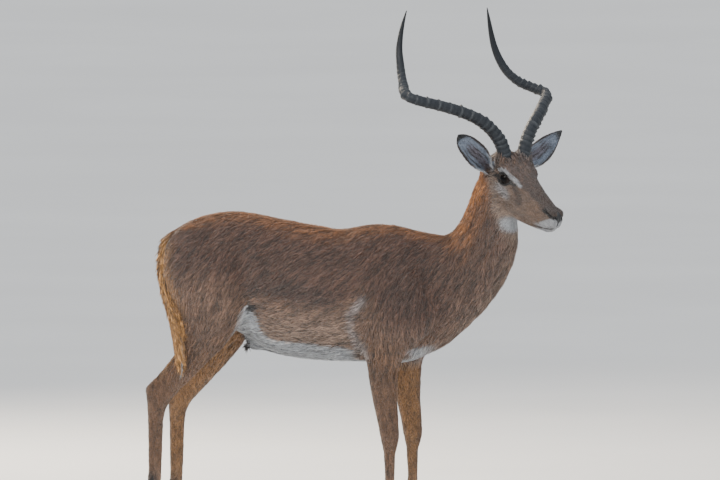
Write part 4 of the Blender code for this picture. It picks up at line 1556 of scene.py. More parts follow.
    def open_eyes(self, surface: Surface) -> None:
        """Draws the skin over the eyes into lids.

        Args:
            surface: The skin.
        """
        head = self.axes.to_head(surface.places)
        side = np.where(head[:, 1] < 0, -1.0, 1.0)
        flip = np.stack([np.ones(len(side)), side, np.ones(len(side))], 1)
        face = head * flip
        near = np.linalg.norm(face - EyeSocket.MIDDLE, axis=1) < EyeSocket.AROUND
        near = (near & (face[:, 1] > 0.02))[:, None]
        moved = np.where(near, EyeSocket.lids(face), face)
        surface.places = np.where(near, self.axes.from_head(moved * flip), surface.places)

    def add_ears(self, piece: Piece) -> None:
        """Joins the ears' shells to the skin, and smooths their roots.

        Args:
            piece: The skin.
        """
        for side in Side:
            ear = placed("ear_shell", Ear(self.axes, side).shell())
            union = piece.modifiers.new("ear", "BOOLEAN")
            union.operation = "UNION"
            union.solver = "MANIFOLD"
            union.object = ear
            bake(piece)
            bpy.data.objects.remove(ear)
        surface = Surface(piece.data)
        head = self.axes.to_head(surface.places)
        root = np.array(Ear.root_place) + np.array([0.0, 0.004, 0.002])
        apart = np.linalg.norm(mirrored(head) - root, axis=1)
        surface.relax(self.ear_rounds, ramp(apart, 0.026, 0.014))
        surface.write()
        piece.data.shade_smooth()

    def mark(self, data: bpy.types.Mesh) -> None:
        """Writes the skin's markings."""
        colour, bare = Markings(self.palette, self.spots(Surface(data))).painted()
        write_values(data, Markings.COLOUR, colour)
        write_values(data, Markings.BARE, bare)

    @staticmethod
    def unwrap(piece: Piece) -> None:
        """Lays the skin out flat on the map that the coat's locks find their places on.

        Args:
            piece: The skin.
        """
        data = piece.data
        data.uv_layers.active = data.uv_layers.new(name=Coat.MAP)
        bpy.ops.object.select_all(action="DESELECT")
        piece.select_set(True)
        bpy.context.view_layer.objects.active = piece
        bpy.ops.object.mode_set(mode="EDIT")
        bpy.ops.mesh.select_all(action="SELECT")
        bpy.ops.uv.smart_project(angle_limit=1.15, island_margin=0.003, scale_to_bounds=True)
        bpy.ops.object.mode_set(mode="OBJECT")


# ---- Coat


@dataclass
class Locks:
    """Many flat locks of hair: each from its root over its middle to its tip."""

    root: Array
    middle: Array
    tip: Array
    lift: Array
    width: Array
    flatness: float

    def mesh(self, name: str, bands: int = 2) -> bpy.types.Mesh:
        """Makes one mesh of all the locks, each a closed spindle of three sides.

        Args:
            name: The mesh's name.
            bands: How many parts each has along it.

        Returns:
            The mesh. Its vertices come lock by lock.
        """
        along, side, height, faces = self.pattern(bands)
        count = len(self.root)
        t = along[None, :, None]
        bend = 2 * self.middle - 0.5 * (self.root + self.tip)
        line = (1 - t) ** 2 * self.root[:, None] + 2 * t * (1 - t) * bend[:, None]
        line = line + t**2 * self.tip[:, None]
        across = unit(np.cross(self.lift, self.tip - self.root))
        half = 0.5 * self.width[:, None, None]
        places = line + across[:, None] * half * side[None, :, None]
        places = places + self.lift[:, None] * half * self.flatness * height[None, :, None]
        corners = faces[None] + (np.arange(count) * len(along))[:, None, None]
        data = bpy.data.meshes.new(name)
        data.vertices.add(count * len(along))
        data.vertices.foreach_set("co", places.astype(np.float32).ravel())
        data.loops.add(corners.size)
        data.loops.foreach_set("vertex_index", corners.astype(np.int32).ravel())
        data.polygons.add(count * len(faces))
        data.polygons.foreach_set("loop_start", np.arange(0, corners.size, 3, dtype=np.int32))
        data.update(calc_edges=True)
        return data

    @staticmethod
    def pattern(bands: int) -> tuple[Array, Array, Array, Array]:
        """Makes the shape that all locks share.

        Args:
            bands: How many parts it has along it.

        Returns:
            How far along, to the side and up its points are, and its triangles.
        """
        mesh = bmesh.new()
        bmesh.ops.create_uvsphere(mesh, u_segments=3, v_segments=bands, radius=1)
        bmesh.ops.triangulate(mesh, faces=mesh.faces)
        side, height, along = np.array([v.co for v in mesh.verts]).T
        faces = np.array([[v.index for v in face.verts] for face in mesh.faces])
        mesh.free()
        along = ((along + 1) / 2) ** 1.45
        return along, side / max(side.max(), 1e-9), height, faces


class Lie:
    """Which way the hair lies."""

    def __init__(self, axes: Axes) -> None:
        """Takes the animal's axes."""
        self.axes = axes
        self.ear_ways = {side: axes.turn_from_head(Ear(axes, side).along) for side in Side}

    def at(self, spots: Spots) -> Array:
        """Finds the way the hair lies.

        Args:
            spots: The places.

        Returns:
            The way at each, flat on the hide.
        """
        x, _, z = spots.stance.T
        tilt = 6 + 36 * ramp(z, 0.56, 0.80)
        on_leg = np.maximum(ramp(x, -0.20, -0.33), ramp(x, 0.05, 0.12) * ramp(x, 0.34, 0.26))
        leg_tilt = 90 - 44 * ramp(z, 0.52, 0.86)
        leg_tilt = leg_tilt - 28 * ramp(x, -0.20, -0.30) * ramp(z, 0.40, 0.46) * ramp(z, 0.64, 0.56)
        tilt = tilt + (leg_tilt - tilt) * on_leg
        tilt = tilt + (68 - tilt) * ramp(x, 0.27, 0.35)
        tilt = tilt + (90 - tilt) * ramp(z, 0.49, 0.44)
        tilt = np.radians(tilt + 11 * Noise(11, 0.030).at(spots.world))
        spread = 0.30 * ramp(spots.normals[:, 2], 0.3, 0.9) * np.sign(spots.body[:, 1])
        way = np.stack([-np.cos(tilt), spread, -np.sin(tilt)], 1)
        way = mixed(way, self.on_head(spots), spots.on_head)
        for side, (on_ear, _, _, _) in spots.ears.items():
            way = mixed(way, self.ear_ways[side], on_ear)
        tail = Tail().middle()
        steps = unit(np.gradient(tail, axis=0))
        at = lengths_along(tail) / lengths_along(tail)[-1]
        down = np.stack([np.interp(spots.tail_share, at, steps[:, k]) for k in range(3)], 1)
        way = mixed(way, down, spots.on_tail)
        flat = way - spots.normals * np.einsum("ij,ij->i", way, spots.normals)[:, None]
        return unit(flat)

    def on_head(self, spots: Spots) -> Array:
        """Finds the way over the head: back from the nose, up to the horns, down the cheeks.

        Args:
            spots: The places.

        Returns:
            The way at each.
        """
        f, _, u = spots.face.T
        up = 0.45 * ramp(u, 0.0, 0.03) * ramp(f, 0.10, 0.03)
        down = 0.75 * ramp(u, -0.02, -0.07) * ramp(f, 0.09, 0.0)
        crown = ramp(f, -0.02, -0.06)
        way = np.stack([-1 + 0.5 * crown, 0.10 * np.sign(spots.head[:, 1]), up - down - crown], 1)
        way[:, 2] += 0.25 * Noise(12, 0.014).at(spots.world)
        way = mixed(way, (-0.35, 0.0, -1.0), ramp(u, -0.092, -0.112))
        side = np.sign(spots.head[:, 1])
        rising = np.stack([0 * f - 0.42, 0.40 * side, 0 * f + 0.9], 1)
        way = way + (rising - way) * Coat.collar(spots)[:, None]
        return self.axes.turn_from_head(way)


@dataclass(frozen=True)
class Growth:
    """How long, wide and high the hair grows, and how thickly."""

    length: float
    width: float
    lift: float
    cover: float
    free: float = 0.0

    def row(self) -> Array:
        """The values in order."""
        return np.array([self.length, self.width, self.lift, self.cover, self.free])


class Region(Enum):
    """The parts of the coat that are pieces of their own."""

    TRUNK_LEFT = "coat_trunk_left"
    TRUNK_RIGHT = "coat_trunk_right"
    REAR_LEFT = "coat_rear_left"
    REAR_RIGHT = "coat_rear_right"
    NECK = "coat_neck"
    HEAD_LEFT = "coat_head_left"
    HEAD_RIGHT = "coat_head_right"
    FORELEGS = "coat_forelegs"
    HINDLEGS = "coat_hindlegs"
    TAIL = "coat_tail"

    @property
    def bands(self) -> int:
        """How many parts each of its locks has along it."""
        return 3 if self is Region.TAIL else 2


@dataclass
class Coat:
    """The hair: closed locks that lie flat along the body, over the skin."""

    axes: Axes
    palette: Palette
    skin: Piece
    patch: float = 0.003
    root_depth: float = 0.0005
    flatness: float = 0.28
    # How many locks are guard hair, and how much longer, higher and wider it is
    guards: float = 0.28
    guard_sizes: tuple[float, float, float] = (1.2, 1.5, 1.6)
    # How much length, lift and width differ from lock to lock
    lengths: tuple[float, float] = (0.75, 1.2)
    lifts: tuple[float, float] = (0.5, 1.0)
    widths: tuple[float, float] = (0.65, 1.2)
    # How far locks turn aside, each on its own and all in a place alike
    yaw: float = 0.16
    shared_yaw: float = 0.25
    # How far along a lock its middle and its tip are, and how high they rise
    bends: Edge = ((0.5, 0.75), (1.0, 0.9))
    # How much clumps of hair lift it and brighten it
    clump_steps: int = 5
    clump_lift: float = 0.55
    clump_shade: float = 0.95
    # A lock's brightness, how much it differs, its limits, and the dark ones among them
    shade: float = 1.04
    shade_spread: float = 0.24
    shade_limits: tuple[float, float] = (0.3, 2.0)
    dark_share: float = 0.13
    dark: float = 0.45
    # How light a lock's colour is where it counts as white, which is streaked less
    pale: tuple[float, float] = (0.27, 0.37)
    pale_dark: float = 0.75
    pale_shade: float = 0.97
    pale_even: float = 0.35
    # A lock's brightness at its root, and how much it gains to its tip
    root_shade: float = 0.44
    tip_shade: float = 0.82
    # How fast hair thins out where the skin is bare
    thinning: float = 1.3
    body_hair: Growth = Growth(0.0200, 0.0022, 0.0032, 2.25)
    neck_hair: Growth = Growth(0.0215, 0.0024, 0.0034, 2.25)
    face_hair: Growth = Growth(0.0074, 0.0012, 0.0010, 1.9)
    crown_hair: Growth = Growth(0.0130, 0.0019, 0.0024, 2.1)
    collar_hair: Growth = Growth(0.0240, 0.0022, 0.0045, 4.4, 0.85)
    leg_hair: Growth = Growth(0.0092, 0.0016, 0.0014, 1.9)
    pastern_hair: Growth = Growth(0.0120, 0.0017, 0.0022, 2.6, 0.85)
    tail_hair: Growth = Growth(0.0300, 0.0019, 0.0030, 4.6, 1.0)
    ear_hair: Growth = Growth(0.0085, 0.0012, 0.0010, 1.5)
    ear_fringe: Growth = Growth(0.0120, 0.0013, 0.0026, 2.6, 0.6)
    gland_hair: Growth = Growth(0.0240, 0.0022, 0.0050, 4.4, 0.6)
    sheath_hair: Growth = Growth(0.0230, 0.0020, 0.0040, 8.0, 1.0)

    MAP = "OFBake"
    STRANDS = "strands"
    SLOTS = {
        Region.HEAD_LEFT: "coat_head", Region.HEAD_RIGHT: "coat_head",
        Region.FORELEGS: "coat_legs", Region.HINDLEGS: "coat_legs", Region.TAIL: "coat_tail",
    }
    HORN_ROOT = np.array([-0.038, 0.037, 0.050])

    def __post_init__(self) -> None:
        """Sets up what the coat grows by."""
        self.lie = Lie(self.axes)
        self.rng = np.random.default_rng(7)
        self.clumps = Noise(14, 0.0046)

    def growth(self, spots: Spots) -> Array:
        """Finds how the hair grows.

        Args:
            spots: The places.

        Returns:
            Rows of length, width, lift, cover and freedom, with a column for each place.
        """
        x, _, z = spots.stance.T
        f = spots.face[:, 0]
        values = np.tile(self.body_hair.row(), (len(x), 1))
        values = mixed(values, self.neck_hair.row(), ramp(x, 0.25, 0.33))
        values = mixed(values, self.leg_hair.row(), ramp(z, 0.52, 0.38))
        values = mixed(values, self.pastern_hair.row(), ramp(z, 0.062, 0.052))
        values = mixed(values, self.gland_hair.row(), Markings.gland(spots))
        face = np.tile(self.face_hair.row(), (len(x), 1))
        face = mixed(face, self.crown_hair.row(), ramp(f, 0.06, -0.01))
        face[:, 0] *= 1 - 0.35 * ramp(f, 0.12, 0.18)
        face[:, 0] *= np.clip(EyeSocket.outside(spots.face) / 0.012, 0.3, 1)
        values = mixed(values, face, spots.on_head)
        values = mixed(values, self.collar_hair.row(), self.collar(spots) * spots.on_head)
        for on_ear, share, round_it, _ in spots.ears.values():
            values = mixed(values, self.ear_hair.row(), on_ear)
            fringe = ramp(np.abs(round_it), 0.72, 0.95) * ramp(share, 0.75, 0.5) * on_ear
            values = mixed(values, self.ear_fringe.row(), fringe)
            values[:, 0] *= 1 + 0.8 * fringe * ramp(share, 0.40, 0.25)
        tip = ramp(Markings.from_sheath(spots), 0.012, 0.007) * (z < 0.60)
        values = mixed(values, self.sheath_hair.row(), tip)
        values = mixed(values, self.tail_hair.row(), spots.on_tail)
        values[:, 0] *= 1 - 0.45 * spots.on_tail * ramp(spots.tail_share, 0.80, 1.0)
        return values.T

    @classmethod
    def collar(cls, spots: Spots) -> Array:
        """Finds the ruff round a horn's root, which is deepest in front.

        Args:
            spots: The places.

        Returns:
            How much each is in it.
        """
        f, _, u = spots.face.T
        apart = np.linalg.norm(spots.face - cls.HORN_ROOT, axis=1)
        ahead = ramp(f, -0.050, -0.030)
        return ramp(apart - 0.012 * ahead, 0.031, 0.025) * ramp(u, 0.020, 0.030)

    @staticmethod
    def regions(spots: Spots) -> dict[Region, Array]:
        """Divides the places among the coat's pieces.

        Args:
            spots: The places.

        Returns:
            For each piece, True for the places in it.
        """
        x, y, z = spots.body.T
        left = y > 0
        head = spots.on_head > 0.5
        tail = spots.on_tail > 0.5
        neck = (x > 0.26) & (z > 0.52) & ~head
        legs = (z < 0.50) & ~tail & ~head
        low_fore = legs & (x > -0.1)
        low_hind = legs & ~low_fore
        rest = ~(head | tail | neck | legs)
        rear = rest & (x < -0.19)
        trunk = rest & ~rear
        return {
            Region.TRUNK_LEFT: trunk & left, Region.TRUNK_RIGHT: trunk & ~left,
            Region.REAR_LEFT: rear & left, Region.REAR_RIGHT: rear & ~left,
            Region.NECK: neck, Region.HEAD_LEFT: head & (spots.head[:, 1] > 0),
            Region.HEAD_RIGHT: head & (spots.head[:, 1] <= 0), Region.FORELEGS: low_fore,
            Region.HINDLEGS: low_hind, Region.TAIL: tail,
        }

    def build(self, finish: CoatFinish) -> None:
        """Grows the coat, and reports its pieces.

        Args:
            finish: Its material.
        """
        material = finish.material()
        roots, normals, maps = self.sow()
        spots = Spots.at(self.axes, roots, normals)
        colour, bare = Markings(self.palette, spots).painted()
        hairy = self.rng.random(len(bare)) > bare * self.thinning
        tree = self.skin_tree()
        for region, inside in self.regions(spots).items():
            chosen = np.flatnonzero(inside & hairy)
            piece = self.piece(region, chosen, spots, colour, maps, tree)
            piece.data.materials.append(material)
            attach(piece, BODY)
            LOG.info("%s: %d locks", piece.name, len(chosen))

    def skin_tree(self) -> BVHTree:
        """The skin, ready for looking up its nearest points."""
        faces = [tuple(face.vertices) for face in self.skin.data.polygons]
        return BVHTree.FromPolygons(Surface(self.skin.data).places.tolist(), faces)

    def sow(self) -> tuple[Array, Array, Array]:
        """Scatters roots over the skin, evenly for the hair that grows there.

        Returns:
            The roots, which way the skin faces at each, and their places on its map.
        """
        data = self.skin.data
        data.calc_loop_triangles()
        count = len(data.loop_triangles)
        corners, loops = np.empty((2, count, 3), np.int32)
        data.loop_triangles.foreach_get("vertices", corners.ravel())
        data.loop_triangles.foreach_get("loops", loops.ravel())
        surface = Surface(data)
        normals = surface.normals()
        triangles = surface.places[corners]
        centres = triangles.mean(1)
        facing = unit(normals[corners].mean(1))
        spots = Spots.at(self.axes, centres, facing)
        length, width, _, cover, _ = self.growth(spots)
        crossed = np.cross(triangles[:, 1] - triangles[:, 0], triangles[:, 2] - triangles[:, 0])
        area = 0.5 * np.linalg.norm(crossed, axis=1)
        wanted = np.cumsum(area * cover / (0.5 * length * width))
        total = int(wanted[-1])
        at = (np.arange(total) + self.rng.random(total)) / total * wanted[-1]
        face = np.minimum(np.searchsorted(wanted, at), count - 1)
        a, b = self.rng.random((2, total))
        over = a + b > 1
        a, b = np.where(over, 1 - a, a), np.where(over, 1 - b, b)
        weights = np.stack([1 - a - b, a, b], 1)[:, :, None]
        maps = np.empty((len(data.loops), 2), np.float32)
        data.uv_layers[self.MAP].uv.foreach_get("vector", maps.ravel())
        roots = (triangles[face] * weights).sum(1)
        ways = unit((normals[corners[face]] * weights).sum(1))
        return roots, ways, (maps[loops[face]] * weights).sum(1)

    @staticmethod
    def laid(tree: BVHTree, places: Array) -> tuple[Array, Array]:
        """The skin's nearest point to each place, and which way it faces there."""
        found = [tree.find_nearest(place) for place in places.tolist()]
        return np.array([f[0] for f in found]), np.array([f[1] for f in found])

    def piece(self, region: Region, chosen: Array, spots: Spots, colour: Array, maps: Array,
              tree: BVHTree) -> Piece:
        """Grows one piece of the coat.

        Args:
            region: Which piece.
            chosen: The roots it has.
            spots: All roots, measured.
            colour: Their colours.
            maps: Their places on the skin's map.
            tree: The skin.

        Returns:
            The piece.
        """
        rng = self.rng
        some = Spots.at(self.axes, spots.world[chosen], spots.normals[chosen])
        length, width, lift, _, free = self.growth(some)
        way = self.lie.at(some)
        across = np.cross(some.normals, way)
        yaw = self.yaw * rng.standard_normal(len(chosen))
        yaw = yaw + self.shared_yaw * Noise(13, 0.012).at(some.world)
        way = unit(way + across * yaw[:, None])
        clump = self.clumped(some.world, way * length[:, None])
        clump = clump * np.clip(length / self.body_hair.length, 0.25, 1)
        guard = rng.random(len(chosen)) < self.guards
        longer, higher, wider = (np.where(guard, size, 1.0) for size in self.guard_sizes)
        length = (length * rng.uniform(*self.lengths, len(chosen)) * longer)[:, None]
        lift = lift * (1 + self.clump_lift * clump) * higher
        lift = (lift * rng.uniform(*self.lifts, len(chosen)))[:, None]
        root = some.world - some.normals * self.root_depth
        ends = []
        for share, rise in self.bends:
            reached = root + way * length * share
            laid, facing = self.laid(tree, reached)
            laid = laid + facing * lift * rise
            ends.append(mixed(laid, reached + some.normals * lift * rise, free))
        width = width * rng.uniform(*self.widths, len(chosen)) * wider
        locks = Locks(root, ends[0], ends[1], some.normals, width, self.flatness)
        data = locks.mesh(region.value, region.bands)
        tinted = colour[chosen] * self.shades(colour[chosen], clump)[:, None]
        self.colour(data, tinted, maps[chosen], region.bands)
        return placed(region.value, data)

    def shades(self, colour: Array, clump: Array) -> Array:
        """Draws how bright each lock is.

        Args:
            colour: The locks' colours.
            clump: How much each stands out.

        Returns:
            What its colour is multiplied by.
        """
        count = len(colour)
        shade = self.shade + self.clump_shade * clump
        shade = shade + self.shade_spread * self.rng.standard_normal(count)
        pale = ramp(colour.mean(1), *self.pale)
        dark = self.dark + (1 - self.dark) * self.pale_dark * pale
        shade = shade * np.where(self.rng.random(count) < self.dark_share, dark, 1.0)
        shade = shade + (self.pale_shade - shade) * self.pale_even * pale
        return np.clip(shade, *self.shade_limits)

    def clumped(self, places: Array, hair: Array) -> Array:
        """Finds how much locks stand out of their neighbours, alike along the hair."""
        shifts = np.linspace(-0.8, 0.8, self.clump_steps)
        found = sum(self.clumps.at(places + hair * shift) for shift in shifts)
        return found / math.sqrt(self.clump_steps)

    def colour(self, data: bpy.types.Mesh, colour: Array, maps: Array, bands: int) -> None:
        """Writes each lock's colour, darker at its root, and its patch of the skin's map.

        Args:
            data: The locks' mesh.
            colour: The locks' colours.
            maps: Their roots' places on the skin's map.
            bands: How many parts each has.
        """
        along, side, _, faces = Locks.pattern(bands)
        count = len(colour)
        shade = self.root_shade + self.tip_shade * along
        shaded = np.clip(colour[:, None] * shade[None, :, None], 0, 1)
        write_values(data, Markings.COLOUR, shaded.reshape(-1, 3))
        patch = np.stack([along - 0.5, side * 0.5], 1) * self.patch
        spread = (maps[:, None] + patch[None]).clip(0, 1)
        at = spread[:, faces.ravel()].astype(np.float32)
        data.uv_layers.new(name=self.MAP).uv.foreach_set("vector", at.ravel())
        strand = np.stack([0.5 * side, along], 1)[None] + self.rng.uniform(0, 40, (count, 1, 2))
        at = strand[:, faces.ravel()].astype(np.float32)
        data.uv_layers.new(name=self.STRANDS).uv.foreach_set("vector", at.ravel())
        data.uv_layers.active = data.uv_layers[self.MAP]


# ---- Horns


@dataclass
class Horn:
    """A ringed horn, swept along its curve and tapered to a smooth tip."""

    axes: Axes
    side: Side
    root: Place = (-0.038, 0.0, 0.052)
    # Its middle line from its root on the skull, forward, out and up, and its radius
    course: tuple[tuple[float, float, float, float], ...] = (
        (0.012, 0.026, -0.022, 0.0190), (0.000, 0.036, 0.000, 0.0190),
        (-0.017, 0.050, 0.030, 0.0185), (-0.037, 0.075, 0.057, 0.0180),
        (-0.060, 0.110, 0.078, 0.0174), (-0.092, 0.152, 0.088, 0.0166),
        (-0.130, 0.198, 0.090, 0.0158), (-0.165, 0.238, 0.088, 0.0151),
        (-0.196, 0.258, 0.086, 0.0145), (-0.228, 0.247, 0.084, 0.0138),
        (-0.262, 0.222, 0.087, 0.0130), (-0.298, 0.203, 0.101, 0.0121),
        (-0.328, 0.191, 0.124, 0.0108), (-0.353, 0.183, 0.151, 0.0092),
        (-0.371, 0.175, 0.182, 0.0072), (-0.385, 0.166, 0.215, 0.0048),
        (-0.397, 0.155, 0.250, 0.0012),
    )
    step: float = 0.0019
    sides: int = 30
    # How far along the rings go, how high they stand and how wide their crests are
    ringed: float = 0.80
    high: float = 0.0038
    crest: float = 0.0028
    # How high on a ring the horn is as thick as its course says
    middle_height: float = 0.30
    # Share of the length, and the gap from ring to ring there
    gaps: Edge = (
        (0.0, 0.0120), (0.20, 0.0170), (0.30, 0.0300), (0.46, 0.0330), (0.54, 0.0200),
        (0.60, 0.0160), (0.75, 0.0170), (1.0, 0.0170),
    )
    # How many rings have a height and a turn of their own
    knots: int = 400

    WORN = "worn"
    SHARE = "share"

    def build(self, finish: HornFinish) -> Piece:
        """Builds the horn.

        Args:
            finish: Its material.

        Returns:
            The piece.
        """
        line = smooth_rows(np.array(self.course), 8)
        lengths = lengths_along(line[:, :3])
        at = np.linspace(0, lengths[-1], int(lengths[-1] / self.step))
        middle, radius = self.resampled(line, lengths, at)
        frames = self.frames(middle)
        angles = np.linspace(0, 2 * math.pi, self.sides, endpoint=False)
        crest = self.crests(at, lengths[-1], angles)
        raised = self.high * (crest - self.middle_height)
        reach = radius[:, None] + raised * self.fade(at / lengths[-1])[:, None]
        ways = frames[:, 0, None] * np.cos(angles)[None, :, None]
        ways = ways + frames[:, 1, None] * np.sin(angles)[None, :, None]
        rings = middle[:, None] + ways * reach[:, :, None]
        piece = placed("ringed_horn_" + self.side.word, tube(self.axes.from_head(rings)))
        self.write_wear(piece.data, crest, at / lengths[-1])
        piece.data.materials.append(finish.material())
        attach(piece, BODY)
        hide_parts("horn_" + self.side.word)
        return piece

    def resampled(self, line: Array, lengths: Array, at: Array) -> tuple[Array, Array]:
        """Evenly spaced points of the middle line on this side, and their radii."""
        columns = [np.interp(at, lengths, line[:, k]) for k in range(4)]
        places = self.root + np.stack(columns[:3], 1)
        return places * self.side.flip, columns[3]

    @staticmethod
    def frames(middle: Array) -> Array:
        """Finds two directions square to the line, carried along it without twist.

        Args:
            middle: The line.

        Returns:
            The two for each of its points.
        """
        ahead = unit(np.gradient(middle, axis=0))
        front = np.array([1.0, 0.0, 0.0])
        found = []
        for way in ahead:
            front = unit(front - way * (front @ way))
            found.append((front, np.cross(way, front)))
        return np.array(found)

    def crests(self, at: Array, length: float, angles: Array) -> Array:
        """Finds how high the rings stand.

        Args:
            at: How far along the horn each row of points is.
            length: How long the horn is.
            angles: How far round it each point of a row is.

        Returns:
            For each point, 0 in a valley to about 1 on a crest.
        """
        sway = 0.0040 * np.cos(angles + 0.6)[None] + 0.0012 * np.cos(3 * angles)[None]
        tilted = np.clip(at[:, None] + sway, 0, length)
        gaps = read_edge(self.gaps, at / length)
        rings = np.concatenate([[0.0], np.cumsum(np.diff(at) / gaps[1:])])
        turns = np.interp(tilted, at, rings)
        number = np.floor(turns).astype(int)
        phase = turns - np.floor(turns)
        spread = self.crest / np.interp(tilted, at, gaps)
        rise = np.exp(-(((phase - 0.62) / np.where(phase < 0.62, 1.7, 0.62) / spread) ** 2))
        low = 0.22 * np.exp(-(((phase - 0.16) / (1.1 * spread)) ** 2))
        height = np.random.default_rng(21).uniform(0.50, 1.20, self.knots)
        turn = np.random.default_rng(22).uniform(0, 2 * math.pi, self.knots)
        front = 0.14 + 0.86 * (0.5 + 0.5 * np.cos(angles - 0.2))[None] ** 0.8
        front = front * (1 + 0.30 * np.cos(2 * angles[None] + turn[number % self.knots]))
        return np.clip((rise * height[number % self.knots] + low) * front, 0, 1.2)

    def fade(self, share: Array) -> Array:
        """How strong the rings are: low at the root and gone on the smooth tip."""
        return ramp(share, -0.04, 0.08) * ramp(share, self.ringed, self.ringed - 0.16)

    def write_wear(self, data: bpy.types.Mesh, crest: Array, share: Array) -> None:
        """Writes how worn each point is, and how far along the horn.

        Args:
            data: The horn's mesh.
            crest: How high the rings stand at each point.
            share: How far along each row of points is.
        """
        worn = (crest * self.fade(share)[:, None]).ravel()
        count = len(data.vertices)
        write_values(data, self.WORN, np.resize(worn, count))
        write_values(data, self.SHARE, np.resize(np.repeat(share, self.sides), count))


# ---- Hooves


@dataclass
class Claw:
    """One claw of a hoof: an oval with a narrow toe, a level sole and a soft top edge."""

    node: str
    points: int = 32
    levels: tuple[float, ...] = (0.0, 0.05, 0.18, 0.36, 0.54, 0.72, 0.88, 0.97, 1.0)
    # How much smaller the claw is at each level
    insets: tuple[float, ...] = (0.0014, 0.0, 0.0, 0.0002, 0.0, 0.0003, 0.0, 0.0004, 0.0016)
    toe_ahead: float = 0.007
    top_share: float = 0.044 / 0.060
    slope: float = 0.32
    coronet: float = 0.0357
    narrows: float = 0.32
    inner_share: float = 0.7
    long: float = 0.060
    wide: float = 0.0205

    def build(self, finish: Material, middle: float) -> Piece:
        """Builds the claw on its node's box.

        Args:
            finish: Its material.
            middle: How far to the left the middle of its foot is.

        Returns:
            The piece.
        """
        low, high = (np.array(corner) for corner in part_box(self.node))
        toe = (low[0] + high[0]) / 2 - self.toe_ahead
        side = 1 if (low[1] + high[1]) / 2 > middle else -1
        flat_wall = low[1] if side > 0 else high[1]
        centre_y = flat_wall + side * self.wide / 2 * self.inner_share
        angles = np.linspace(0, 2 * math.pi, self.points, endpoint=False)
        rings = []
        for share, inset in zip(self.levels, self.insets):
            length = self.long * (1 + (self.top_share - 1) * share) - 2 * inset
            x = np.cos(angles) * length / 2
            y = np.sin(angles) * (self.wide / 2 - inset) * (1 - self.narrows * np.cos(angles))
            y = np.where(y * side < 0, y * self.inner_share, y)
            z = (self.coronet + self.slope * x) * share
            ahead = toe + self.toe_ahead * (1 - share)
            rings.append(np.stack([ahead + x, centre_y + y, z], 1))
        piece = placed("claw_" + self.node.removeprefix("hoof_"), tube(np.array(rings)))
        piece.data.materials.append(finish)
        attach(piece, BODY)
        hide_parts(self.node)
        return piece


# ---- Studio


@dataclass(frozen=True)
class Lamp:
    """A soft square lamp."""

    name: str
    place: Place
    size: float
    power: float
    colour: Colour

    def hang(self, aim: Place) -> None:
        """Hangs the lamp.

        Args:
            aim: The place it faces.
        """
        light = bpy.data.lights.new(self.name, "AREA")
        light.size = self.size
        light.energy = self.power
        light.color = self.colour
        lamp = bpy.data.objects.new(self.name, light)
        lamp.location = self.place
        ahead = Vector(aim) - Vector(self.place)
        lamp.rotation_euler = ahead.to_track_quat("-Z", "Y").to_euler()
        bpy.context.scene.collection.objects.link(lamp)


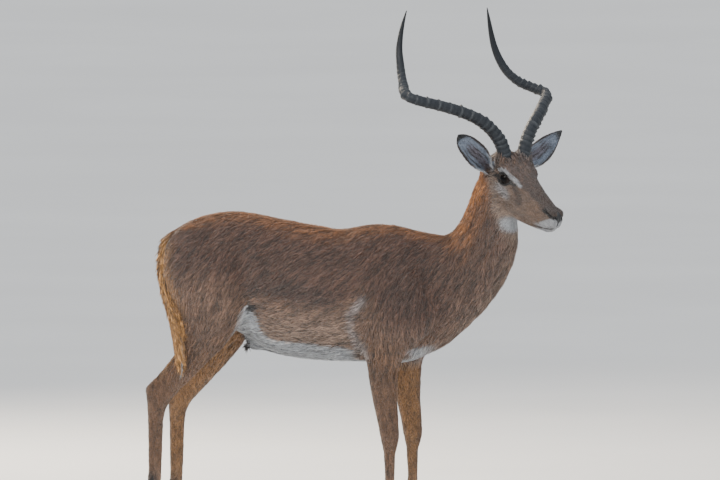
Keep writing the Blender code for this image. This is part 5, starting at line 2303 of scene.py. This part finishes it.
@dataclass
class Studio:
    """A pale floor, soft light all round, and the camera level with the flank."""

    axes: Axes
    azimuth: float = math.radians(8)
    elevation: float = math.radians(4)
    away: float = 60.0
    wide: float = 1.9728
    sensor: float = 36.0
    clip_end: float = 500.0
    aim_right: float = 0.0548
    aim_up: float = 0.822
    floor_half: float = 120.0
    sky: Colour = (0.93, 0.96, 1.0)
    # How bright the sky is at the horizon and overhead
    sky_low: float = 0.50
    sky_high: float = 1.35
    lamp_aim: Place = (0.0, 0.0, 0.8)
    lamps: tuple[Lamp, ...] = (
        Lamp("key", (-1.7, -2.9, 3.9), 2.2, 190, (1.0, 0.97, 0.93)),
        Lamp("fill", (2.9, -2.6, 1.7), 2.8, 35, (0.93, 0.96, 1.0)),
        Lamp("rim", (-2.3, 2.9, 2.9), 2.0, 280, (1.0, 0.86, 0.68)),
    )

    def build(self) -> None:
        """Sets up floor, light and camera."""
        mesh = bmesh.new()
        bmesh.ops.create_grid(mesh, x_segments=4, y_segments=4, size=self.floor_half)
        floor = placed("floor", mesh)
        floor.data.materials.append(FloorFinish().material())
        self.light_sky()
        for lamp in self.lamps:
            lamp.hang(self.lamp_aim)
        self.camera()

    def light_sky(self) -> None:
        """Lights all round, more from above."""
        world = bpy.data.worlds.new("studio")
        world.use_nodes = True
        tree = world.node_tree
        sky = tree.nodes["Background"]
        sky.inputs["Color"].default_value = (*self.sky, 1.0)
        ways = tree.nodes.new("ShaderNodeTexCoord")
        axes = tree.nodes.new("ShaderNodeSeparateXYZ")
        height = tree.nodes.new("ShaderNodeMapRange")
        height.inputs["To Min"].default_value = self.sky_low
        height.inputs["To Max"].default_value = self.sky_high
        tree.links.new(ways.outputs["Generated"], axes.inputs[0])
        tree.links.new(axes.outputs["Z"], height.inputs["Value"])
        tree.links.new(height.outputs[0], sky.inputs["Strength"])
        bpy.context.scene.world = world

    def camera(self) -> None:
        """Sets the camera with a long lens, a little ahead of square to the flank."""
        sin_a, cos_a = math.sin(self.azimuth), math.cos(self.azimuth)
        sin_e, cos_e = math.sin(self.elevation), math.cos(self.elevation)
        back = Vector((sin_a * cos_e, -cos_a * cos_e, sin_e))
        right = Vector((cos_a, sin_a, 0))
        up = Vector((-sin_a * sin_e, cos_a * sin_e, cos_e))
        aim = right * self.aim_right + up * self.aim_up + Vector(self.axes.shift.tolist())
        lens = bpy.data.cameras.new("camera")
        lens.sensor_width = self.sensor
        lens.lens = self.sensor * self.away / self.wide
        lens.clip_end = self.clip_end
        camera = bpy.data.objects.new("camera", lens)
        turned = Matrix((right, up, back)).transposed().to_4x4()
        camera.matrix_world = Matrix.Translation(aim + back * self.away) @ turned
        bpy.context.scene.collection.objects.link(camera)
        bpy.context.scene.camera = camera


def main() -> None:
    """Builds the animal over its frame."""
    logging.basicConfig(level=logging.INFO, format="%(name)s: %(message)s")
    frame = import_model()
    axes = Axes.from_eyes()
    Studio(axes).build()
    palette = Palette()
    skin = Skin(axes, palette).build(HideFinish())
    LOG.info("skin: %d faces", len(skin.data.polygons))
    for side in Side:
        eye = Eye(axes, side)
        LOG.info(eye.build(EyeFinish()).name)
        LOG.info(eye.lashes(LashFinish()).name)
        LOG.info(Horn(axes, side).build(HornFinish()).name)
    hoof = HoofFinish().material()
    for node in sorted(frame["nodes"]):
        if node.startswith("hoof_"):
            foot = node.rsplit("_", 1)[0]
            both = [np.mean(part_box(f"{foot}_{place}"), axis=0)[1] for place in ("inner", "outer")]
            LOG.info(Claw(node).build(hoof, float(np.mean(both))).name)
    Coat(axes, palette, skin).build(CoatFinish())


if __name__ == "__main__":
    main()
